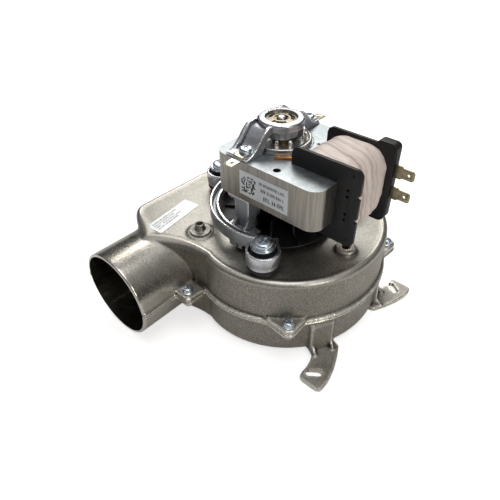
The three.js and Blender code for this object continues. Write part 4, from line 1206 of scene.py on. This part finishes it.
def make_lower_bracket():
    drop = Matrix.Translation((0, 0, STACK_BOTTOM - 0.05)) @ UPSIDE_DOWN
    solids = [moved(part, drop) for part in bridge_shapes()]
    web, lip = EYE_BOTTOM + 3, EYE_TOP
    rim = [
        (RIM_INNER_R, web),
        (RIM_OUTER_R - 2, web),
        (RIM_OUTER_R - 2, EYE_BOTTOM + 0.5),
        (RIM_OUTER_R, EYE_BOTTOM + 0.5),
        (RIM_OUTER_R, lip),
        (RIM_OUTER_R - 1.5, lip),
        (RIM_OUTER_R - 1.5, web + 2.4),
        (RIM_INNER_R + 1.5, web + 2.4),
        (RIM_INNER_R + 1.5, lip - 1.7),
        (RIM_INNER_R, lip - 1.7),
        (RIM_INNER_R, web),
    ]
    opening = math.radians(63.5)
    solids.append(lathe(rim, 120, start=opening, end=TAU - opening))
    solids += [rod(EYE_R - 0.5, EYE_BOTTOM + 0.6, EYE_TOP - 0.6, 72, eye.x, eye.y) for eye in MOUNTS]
    for eye in MOUNTS:
        angle = math.atan2(eye.y, eye.x)
        neck = block(RIM_INNER_R + 1, MOUNT_CIRCLE_R - 4, -7, 7, EYE_BOTTOM + 1, EYE_TOP - 1.5)
        solids.append(spun(neck, angle))
    for degrees in HANGING_TABS:
        tab = block(RIM_OUTER_R - 5.5, RIM_OUTER_R - 0.2, -5, 5, EYE_BOTTOM - 2.6, EYE_BOTTOM + 4)
        solids.append(spun(tab, math.radians(degrees)))
        boss = on_circle(RIM_OUTER_R - 4, math.radians(degrees * 0.83))
        solids.append(rod(2.3, web, EYE_TOP - 0.6, 24, *boss))
    x0, x1 = STACK_SCREW_X - 5, STACK_SCREW_X + 6.5
    for side in (-1, 1):
        def span(a, b):
            return (min(side * a, side * b), max(side * a, side * b))

        wall = span(STACK_HALF - 5, STACK_HALF)
        solids.append(block(x0, x1, *span(STACK_HALF - 11, STACK_HALF), STACK_BOTTOM - 14, STACK_BOTTOM - 0.05))
        solids.append(block(x0, x1, *wall, EYE_BOTTOM + 1, STACK_BOTTOM - 13))
        solids.append(block(x0 - 4, x1 + 6, *span(STACK_HALF - 5, RIM_INNER_R + 3), web, web + 2.4))
        ribs = [(STACK_HALF - 9, web + 1), (RIM_INNER_R + 1, web + 1)]
        ribs += [(STACK_HALF - 3, web + 12), (STACK_HALF - 7, web + 12)]
        for x in (x0 + 0.2, x1 - 1.8):
            outline = [(side * y, z) for y, z in ribs]
            solids.append(shift(moved(prism(outline, 0, 1.8), TO_SIDE), x, 0, 0))
    bracket = remesh(made("bearing_bracket_lower_cast", *solids), 0.5, 3)
    carve(bracket, *bridge_bores(STACK_BOTTOM - 0.05, True))
    carve(bracket, *(rod(EYE_BORE_R, EYE_BOTTOM - 2, EYE_TOP + 2, 64, eye.x, eye.y) for eye in MOUNTS))
    for degrees in HANGING_TABS:
        slit = block(RIM_OUTER_R - 7, RIM_OUTER_R + 1, 1, 2.2, EYE_BOTTOM - 4, EYE_BOTTOM + 0.4)
        carve(bracket, spun(slit, math.radians(degrees)))
    bore, outer = EYE_BORE_R - 0.02, EYE_R
    band = [
        (bore + 0.4, EYE_BOTTOM), (outer - 0.4, EYE_BOTTOM), (outer - 0.25, EYE_BOTTOM + 3.4),
        (outer, EYE_BOTTOM + 3.8), (outer, EYE_TOP - 0.5), (outer - 0.15, EYE_TOP - 0.15),
        (outer - 0.5, EYE_TOP), (bore + 0.5, EYE_TOP),
        (bore, EYE_TOP - 0.5), (bore, EYE_BOTTOM + 0.4), (bore + 0.4, EYE_BOTTOM),
    ]
    joined(bracket, *(made("eye", lathe(band, 96, eye.x, eye.y)) for eye in MOUNTS))
    mark_wear_and_painted_light(bracket, 2.5)
    dress(bracket, BRACKET, "housing", "bracket_aluminium", "bearing_bracket_lower", sharp=45)


make_upper_bracket()
make_lower_bracket()


# ================================================================ stator


SHEETS = 50
SHEET_PITCH = (STACK_TOP - STACK_BOTTOM) / SHEETS


def motor_sheet(name, outline):
    """The lowest sheet of a pile, a little thinner than its share of the height."""
    return made(name, prism(outline, STACK_BOTTOM + 0.01, STACK_BOTTOM + SHEET_PITCH - 0.012))


def pile_up(sheet):
    return grown(sheet, PILE, {"Count": SHEETS, "Pitch": SHEET_PITCH * MM, "Finish": STACK})


def make_stack():
    """The C-shaped pile of sheets, with its bore, window, screw holes and small rivet holes."""
    sheet = motor_sheet("stator_sheets", rounded(STACK_LEFT, STACK_RIGHT, -STACK_HALF, STACK_HALF, 8, 14))
    z0, z1 = STACK_BOTTOM - 1, STACK_BOTTOM + 2
    carve(sheet, rod(BORE_R, z0, z1, 96), block(22.3, STACK_RIGHT + 1, -18, 18, z0, z1))
    for side in (-1, 1):
        carve(sheet, rod(2.05, z0, z1, 24, STACK_SCREW_X, side * STACK_SCREW_Y))
        carve(sheet, rod(2.25, z0, z1, 24, 21.5, side * STACK_SCREW_Y))
        carve(sheet, rod(1.15, z0, z1, 16, side * 20.4, side * 11))
    for turn in (0, math.pi):
        for radius, angle in ((BORE_R + 2.7, -57), (BORE_R + 4, -35)):
            x, y = on_circle(radius, math.radians(angle) + turn)
            carve(sheet, rod(1.35, z0, z1, 16, x, y))
    pile_up(sheet)
    dress(sheet, STACK, "housing", "laminated_steel", "stator_core")


def make_bar():
    outline = rounded(BAR_LEFT, STACK_RIGHT, -WINDOW_HALF + 0.05, WINDOW_HALF - 0.05, 0.4, 3)
    bar = motor_sheet("stator_bar_sheets", outline)
    pile_up(bar)
    dress(bar, STACK, "housing", "laminated_steel", "stator_bar")


make_stack()
make_bar()


# ================================================================ coil


FLANGE_LEFT = low("coil_bobbin").x - AXIS.x
FLANGE_RIGHT = high("coil_bobbin").x - AXIS.x
FLANGE_BOTTOM = low("coil_bobbin").z
FLANGE_TOP = high("coil_bobbin").z - 1.5
INSIDE = WINDOW_HALF - 2


def make_bobbin():
    flange = rounded(FLANGE_LEFT, FLANGE_RIGHT, FLANGE_BOTTOM, FLANGE_TOP, 4.5, 10)
    inner = BAR_LEFT - 1.3, STACK_RIGHT + 1.3, STACK_BOTTOM - 1.3, STACK_TOP + 1.3
    tunnel = rounded(BAR_LEFT - 0.1, STACK_RIGHT + 0.1, STACK_BOTTOM - 0.1, STACK_TOP + 0.1, 0.3, 3)
    body = made("coil_bobbin_front", moved(prism(flange, INSIDE, WINDOW_HALF - 0.05), TO_FRONT))
    right = FLANGE_RIGHT
    middle = (STACK_TOP + STACK_BOTTOM) / 2 + 1.4
    for z in (middle + 9, middle + 5.2, middle - 6, middle - 9.8):
        carve(body, shift(moved(rod(0.85, 0, 40, 20), TO_FRONT), right - 7.5, 10, z))
    for z in (middle + 7, middle - 8):
        notch = rounded(right - 1.5, right + 2, z - 1.3, z + 1.3, 0.5, 4)
        carve(body, moved(prism(notch, 10, 30), TO_FRONT))
    for z in (FLANGE_TOP - 4, FLANGE_BOTTOM + 4):
        dimple = lathe([(0, 0), (0.01, 0), (1.5, 1.0), (1.5, 4), (0, 4)], 24)
        carve(body, shift(moved(dimple, TO_FRONT), right - 5.5, -WINDOW_HALF + 0.75, z))
    rear = made("rear", moved(prism(flange, -WINDOW_HALF + 0.05, -INSIDE), TO_FRONT))
    thick = rounded(right - 13, right, FLANGE_BOTTOM + 1, FLANGE_TOP + 1.5, 3.2, 8)
    block_piece = made("block", moved(prism(thick, -WINDOW_HALF - 4.5, -INSIDE - 0.2), TO_FRONT))
    for z in (FLANGE_TOP - 4.2, FLANGE_BOTTOM + 5):
        dimple = lathe([(0, 0), (0.01, 0), (1.8, 0.8), (1.8, 4), (0, 4)], 24)
        carve(block_piece, shift(moved(dimple, TO_FRONT), right - 5.5, INSIDE + 0.65, z))
    tube = made("tube", moved(prism(rounded(*inner, 1.2, 5), -INSIDE - 0.5, INSIDE + 0.5), TO_FRONT))
    for part in (body, rear, block_piece, tube):
        carve(part, moved(prism(tunnel, -40, 40), TO_FRONT))
        bevel(part, 0.35, 3)
    joined(body, rear, block_piece, tube)
    body.name = "coil_bobbin_moulding"
    dress(body, PLASTIC, "housing", "black_plastic", "coil_bobbin")


# Where the tape's creases run across its width, and how deep and wide they are.
CREASES = ((-9.8, 0.3, 0.7), (-2.2, 0.6, 1.0), (1.4, 0.35, 0.6), (7.4, 0.4, 1.1), (11.6, 0.25, 0.7))


def wrinkle(s, y):
    """How far the tape stands out at a place along its turn and across its width, in millimetres."""
    swing = 2.2 * noise.noise(Vector((s * 0.035, 3.1, 0.0))) + 1.2 * noise.noise(Vector((s * 0.11, 9.7, 0.0)))
    ridges = 0.0
    for centre, depth, width in CREASES:
        ridges -= depth * math.exp(-(((y - centre - swing) / width) ** 2))
    broad = 0.9 * noise.noise(Vector((s * 0.05, y * 0.14, 1.7)))
    soft = broad + 0.3 * noise.noise(Vector((s * 0.14, y * 0.5, 5.0)))
    folds = 0.6 * noise.noise(Vector((s * 0.13 + y * 0.10, y * 0.12 - s * 0.05, 8.0)))
    return ridges + soft + folds, ridges


def make_winding():
    """The tape over the winding: a crowned band with soft folds and lengthwise creases."""
    x0, x1 = FLANGE_LEFT + 1.1, FLANGE_RIGHT - 2.5
    z0, z1 = FLANGE_BOTTOM + 1.6, FLANGE_TOP - 1.0
    corner = 14.5
    quarter = math.pi / 2
    left, right, down, up = x0 + corner, x1 - corner, z0 + corner, z1 - corner
    centres = [(right, down, -1), (right, up, 0), (left, up, 1), (left, down, 2)]
    stations = []
    for (cx, cz, q), (nx, nz, _) in zip(centres, centres[1:] + centres[:1]):
        for i in range(22):
            t = (q + i / 22) * quarter
            stations.append((cx + corner * math.cos(t), cz + corner * math.sin(t), math.cos(t), math.sin(t)))
        t = (q + 1) * quarter
        for i in range(16):
            u = i / 16
            x, z = cx + (nx - cx) * u, cz + (nz - cz) * u
            stations.append((x + corner * math.cos(t), z + corner * math.sin(t), math.cos(t), math.sin(t)))
    lengths, total = [], 0.0
    for a, b in zip(stations, stations[1:] + stations[:1]):
        lengths.append(total)
        total += math.hypot(b[0] - a[0], b[1] - a[1])
    rows = 72
    half = INSIDE - 0.15
    rings, crease_shade = [], []
    for k in range(rows + 1):
        y = half - 2 * half * k / rows
        crown = -1.0 * (y / half) ** 6 - 0.5 * (y / half) ** 2
        ring = []
        for (x, z, nx, nz), s in zip(stations, lengths):
            around = s / total * TAU
            out, crease = wrinkle(55 * math.cos(around) + 55, y + 7 * math.sin(around))
            out = 0.15 + crown + 0.8 * out
            ring.append((x + nx * out, y, z + nz * out))
            crease_shade.append(min(1.0, max(0.0, -crease * 1.5)))
        rings.append(ring)
    coil = made("winding_tape_band", loft(rings))
    # How deep each point lies in a crease, which sets the painted shade in the tape's creases.
    attribute = coil.data.attributes.new("crease", "FLOAT", "POINT")
    attribute.data.foreach_set("value", crease_shade[: len(coil.data.vertices)])
    dress(coil, TAPE, "housing", "winding_tape", "coil_winding", sharp=60)


make_bobbin()
make_winding()
for terminal in ("spade_terminal_upper", "spade_terminal_lower"):
    refined(terminal, BRASS, 0.12, 2)
for tab in ("earth_tab_front", "earth_tab_rear"):
    refined(tab, NICKEL, 0.12, 2)
for loop in ("shading_loop_front", "shading_loop_rear"):
    refined(loop, COPPER, 0.4, 3)


# ================================================================ rotor


def make_end_ring(name, node, matrix):
    """The cast ring of the rotor cage, with its upright pins."""
    profile = [
        (9, 0.05), (19, 0.05), (19, 2.4), (18.5, 3), (17.6, 3), (16.8, 2.2), (13, 1.9), (9, 1.8), (9, 0.05)
    ]
    pin = [(14, -1.2), (16, -1.2), (16, 1.2), (14, 1.2)]
    rings = [[(x, y, 1) for x, y in pin], [(x * 0.997, y * 0.92, 5.8) for x, y in pin]]
    rings.append([(15 + (x - 15) * 0.55, y * 0.55, 6.8) for x, y in pin])
    ring = ring_of(name, [loft(rings)], [lathe(profile, 72)], 12, RING_CAST, 0.3)
    ring.data.transform(Matrix.Translation(AXIS * MM) @ matrix @ Matrix.Translation(-AXIS * MM))
    mark_wear_and_painted_light(ring, 1.0, 1)
    dress(ring, RING_CAST, "rotor", "cast_aluminium", node)


def make_rotor_core():
    """The rotor's pile of sheets, with its closed slots showing as faint lines."""
    outline = []
    for i in range(12 * 6):
        angle = TAU * i / 72
        outline.append(on_circle(20.0 - (0.35 if i % 6 == 0 else 0.0), angle))
    sheet = motor_sheet("rotor_sheets", outline)
    carve(sheet, rod(3.05, STACK_BOTTOM - 1, STACK_BOTTOM + 2, 32))
    pile_up(sheet)
    dress(sheet, STACK, "rotor", "laminated_steel", "rotor_core")


def make_shaft():
    bottom = low("shaft").z
    nut = high("impeller_washer").z
    profile = [
        (0, bottom), (1.9, bottom), (2.4, bottom + 0.6), (2.4, nut + 0.4), (3, nut + 0.5),
        (3, SHAFT_TOP - 1.6), (2.85, SHAFT_TOP - 1.0), (2.3, SHAFT_TOP - 0.45),
        (1.3, SHAFT_TOP - 0.12), (0, SHAFT_TOP),
    ]
    dress(made("shaft_ground", lathe(profile, 48)), STEEL, "rotor", "bright_steel", "shaft", sharp=40)


def make_cooling_fan():
    z = low("cooling_fan").z
    top = high("cooling_fan").z
    outline = [(6, z + 1), (37, z + 1), (37.4, z + 3.2), (30, z + 3.4), (28, z + 5)]
    outline += [(27.2, top - 1), (25.5, top), (6, top)]
    blade = moved(prism(outline, -0.7, 0.7), TO_FRONT)
    disc = [(3.05, z), (37.6, z), (38, z + 0.4), (38, z + 1.1), (37.6, z + 1.5), (7.4, z + 1.5)]
    disc += [(7, z + 2), (7, top), (3.05, top), (3.05, z)]
    fan = ring_of("cooling_fan_moulding", [blade], [lathe(disc, 96)], 12, PLASTIC, 0.2)
    dress(fan, PLASTIC, "rotor", "black_plastic", "cooling_fan")


def make_impeller():
    """The pressed wheel: a back plate, twelve leaning blades with folded feet, and the inlet ring."""
    bottom, top = low("impeller_wheel").z, high("impeller_wheel").z
    eye_z = bottom + 0.1
    lean = 8

    def along(radius):
        return math.sqrt(radius**2 - (lean + 1.2) ** 2)

    tip = along(53.6)
    blade = [(25, eye_z), (along(30), eye_z), (tip, eye_z + 8.4), (tip, top - 1.1), (21, top - 1.1)]
    parts = [moved(prism(blade, -lean - 1.2, -lean), TO_FRONT)]
    foot = [(22, -lean - 5.5), (along(52), -lean - 5.5), (along(52), -lean), (22, -lean)]
    parts.append(prism([(x, -y) for x, y in foot][::-1], top - 1.9, top - 1.1))
    plate = [(8.6, top - 1.2), (53.6, top - 1.2), (54, top - 0.9), (54, top - 0.3), (53.6, top)]
    plate += [(8.6, top), (8.6, top - 1.2)]
    wheel = ring_of("impeller_wheel_pressed", parts, [lathe(plate, 120)], 12, STEEL, 0.15)
    dress(wheel, STEEL, "rotor", "bright_steel", "impeller_wheel")
    z = low("impeller_shroud").z
    rise = [(30 + 24 * t, z + 2 + 8.5 * t**0.9) for t in (0.1, 0.3, 0.5, 0.75, 1)]
    back = [(r, h + 1.15) for r, h in reversed(rise)]
    ring = [(30, z), (31.2, z), (31.2, z + 1.6), *rise, *back, (30, z + 2.6), (30, z)]
    dress(made("impeller_ring", lathe(ring, 120)), STEEL, "rotor", "bright_steel", "impeller_shroud")


over_stack = Matrix.Translation((0, 0, STACK_TOP * MM))
under_stack = Matrix.Translation((0, 0, STACK_BOTTOM * MM)) @ UPSIDE_DOWN
make_end_ring("rotor_end_ring_top", "rotor_end_ring_upper", over_stack)
make_end_ring("rotor_end_ring_bottom", "rotor_end_ring_lower", under_stack)
make_rotor_core()
make_shaft()
make_cooling_fan()
make_impeller()
refined("impeller_hub", CAST, 0.3)
refined("impeller_washer", ZINC, 0.15)
refined("impeller_nut", ZINC, 0.25)
for spacer in ("rotor_spacer_upper", "rotor_spacer_lower"):
    refined(spacer, BRONZE, 0.2)


# ================================================================ bearings, mounts, nipple and seal


BEARING_ENDS = (("upper", STACK_TOP, False), ("lower", STACK_BOTTOM, True))


def make_bearings():
    for place, base, flip in BEARING_ENDS:
        z0 = HUB_TOP - 2.6 - 7.8
        turns = [-0.54 + 0.09 * i for i in range(13)]
        ball = [(7.4 * math.cos(t), z0 + 3.8 + 7.4 * math.sin(t)) for t in turns]
        profile = [(3.05, z0 + 0.2), (5.6, z0), *ball, (5.6, z0 + 7.6), (3.05, z0 + 7.4), (3.05, z0 + 0.2)]
        turn = at_height(base, flip)
        bush = made(f"bearing_{place}_bush", moved(lathe(profile, 48), turn))
        dress(bush, BRONZE, "housing", "bronze", f"bearing_{place}")


def make_retainers():
    """The domed spring washers over the bearings, with three windows and three tongues each."""
    for place, base, flip in BEARING_ENDS:
        z = HUB_TOP - 2.6 + 0.45
        profile = [(4.3, z + 0.9), (5.4, z + 0.75), (8.6, z), (9.9, z), (9.9, z + 0.7), (8.8, z + 0.7)]
        profile += [(5.6, z + 1.4), (4.3, z + 1.5), (4.3, z + 0.9)]
        turn = at_height(base, flip)
        washer = made(f"bearing_retainer_{place}_spring", moved(lathe(profile, 72), turn))
        for i in range(3):
            start = i * TAU / 3 + 0.35
            window = [*arc(8.3, start, start + 1.3, 16), *arc(5.7, start + 1.3, start, 14)]
            carve(washer, moved(prism(window, z - 2, z + 4), turn))
        bevel(washer, 0.12)
        dress(washer, SPRING, "housing", "nickel", f"bearing_retainer_{place}")


def make_mounts():
    for i, eye in enumerate(MOUNTS, 1):
        out, b = 8.4, 4.1
        profile = [
            (b, BOSS_TOP + 0.05), (9.4, BOSS_TOP + 0.05), (9.8, BOSS_TOP + 0.6), (9.8, EYE_BOTTOM - 0.7),
            (9.3, EYE_BOTTOM - 0.15), (out, EYE_BOTTOM - 0.1), (out, EYE_TOP - 2.8),
            (out - 0.6, EYE_TOP - 2.0), (out - 2, EYE_TOP - 1.6), (6.2, EYE_TOP - 0.6), (6.0, EYE_TOP + 1.5),
            (5.6, EYE_TOP + 2), (b, EYE_TOP + 2), (b, BOSS_TOP + 0.05),
        ]
        grommet = made(f"rubber_mount_{i}_grommet", lathe(profile, 64, eye.x, eye.y))
        dress(grommet, RUBBER, "housing", "black_rubber", f"rubber_mount_{i}", sharp=40)
        refined(f"mount_sleeve_{i}", ZINC, 0.15)


def make_nipple():
    z = low("pressure_nipple").z
    profile = [
        (2.1, z), (6.6, z), (7, z + 0.3), (7, z + 0.9), (6.7, z + 1.2), (4.8, z + 1.3), (3.7, z + 1.6),
        (3.15, z + 2.4), (3.1, z + 5.3), (3.0, z + 5.7), (2.75, z + 5.95), (2.4, z + 6), (2.2, z + 5.85),
        (2.1, z + 5.6), (2.1, z),
    ]
    nipple = made("pressure_nipple_turned", lathe(profile, 56, NIPPLE.x, NIPPLE.y))
    dress(nipple, CAST, "housing", "bright_steel", "pressure_nipple", sharp=40)


make_bearings()
make_retainers()
make_mounts()
make_nipple()
refined("shaft_seal", STEEL, 0.2)


# ================================================================ labels


def label_marks(name, place, lines, code, seed):
    """Made-up printing: rows of short strokes like words, and a square of random cells."""
    rng = random.Random(seed)
    shapes = []

    def stroke(x0, x1, y0, y1):
        shapes.append(moved(block(x0, x1, y0, y1, 0.0, 0.02), place))

    for y, x, x1, size in lines:
        while x < x1:
            letter = rng.uniform(0.35, 0.6) * size
            if rng.random() < 0.16:
                x += letter * 0.7
                continue
            top = y + size / 2
            foot = y - size / 2
            bar = size * 0.17
            kind = rng.randrange(4)
            stroke(x, x + bar, foot, top)
            if kind != 3:
                stroke(x + letter - bar, x + letter, foot, top - size * 0.3 * (kind == 1))
            if kind in (0, 1):
                stroke(x, x + letter, y - bar / 2, y + bar / 2)
            if kind in (0, 2):
                stroke(x, x + letter, top - bar, top)
            if kind == 3:
                stroke(x, x + letter, foot, foot + bar)
            x += letter + size * 0.2
    if code:
        x0, y0, cells, cell = code
        for row in range(cells):
            for column in range(cells):
                if rng.random() < 0.5:
                    x, y = x0 + column * cell, y0 + row * cell
                    stroke(x, x0 + (column + 1) * cell, y, y0 + (row + 1) * cell)
    dress(made(name, *shapes), INK, "housing", "foil_label")


def make_labels():
    refined("motor_label", FOIL, 0.03, 1)
    centre = (low("casing_label") + high("casing_label")) / 2 - AXIS
    top = high("casing_label").z
    slant = Matrix.Rotation(math.radians(98), 4, "Z")
    turn = Matrix.Translation((centre.x, centre.y, 0)) @ slant
    outline = rounded(-19.5, 19.5, -6.6, 6.6, 0.8)
    foil = made("casing_label_foil", moved(prism(outline, PLATE, top), turn))
    dress(bevel(foil, 0.03, 1), FOIL, "housing", "foil_label", "casing_label")
    on_plate = Matrix.Translation((centre.x, centre.y, top)) @ slant
    lines = [(3.9 - 2.1 * i, -17.5, 6 - 4 * (i % 2), 1.35) for i in range(4)]
    label_marks("casing_label_print", on_plate, lines, None, 4)
    face = low("motor_label")
    middle = (low("motor_label") + high("motor_label")) / 2 - AXIS
    on_stack = Matrix.Translation((middle.x, face.y - AXIS.y, middle.z)) @ Matrix.Rotation(math.pi / 2, 4, "X")
    lines = [(4.4, -4.0, 15.5, 1.8), (0.3, -1.5, 15.5, 2.0), (-4.4, 0.5, 15.5, 2.6)]
    label_marks("motor_label_print", on_stack, lines, (-16.4, -5.6, 12, 0.92), 7)


make_labels()

for node, thing in frame["nodes"].items():
    if not thing.hide_render:
        raise RuntimeError(f"{node} still shows its plain solid")
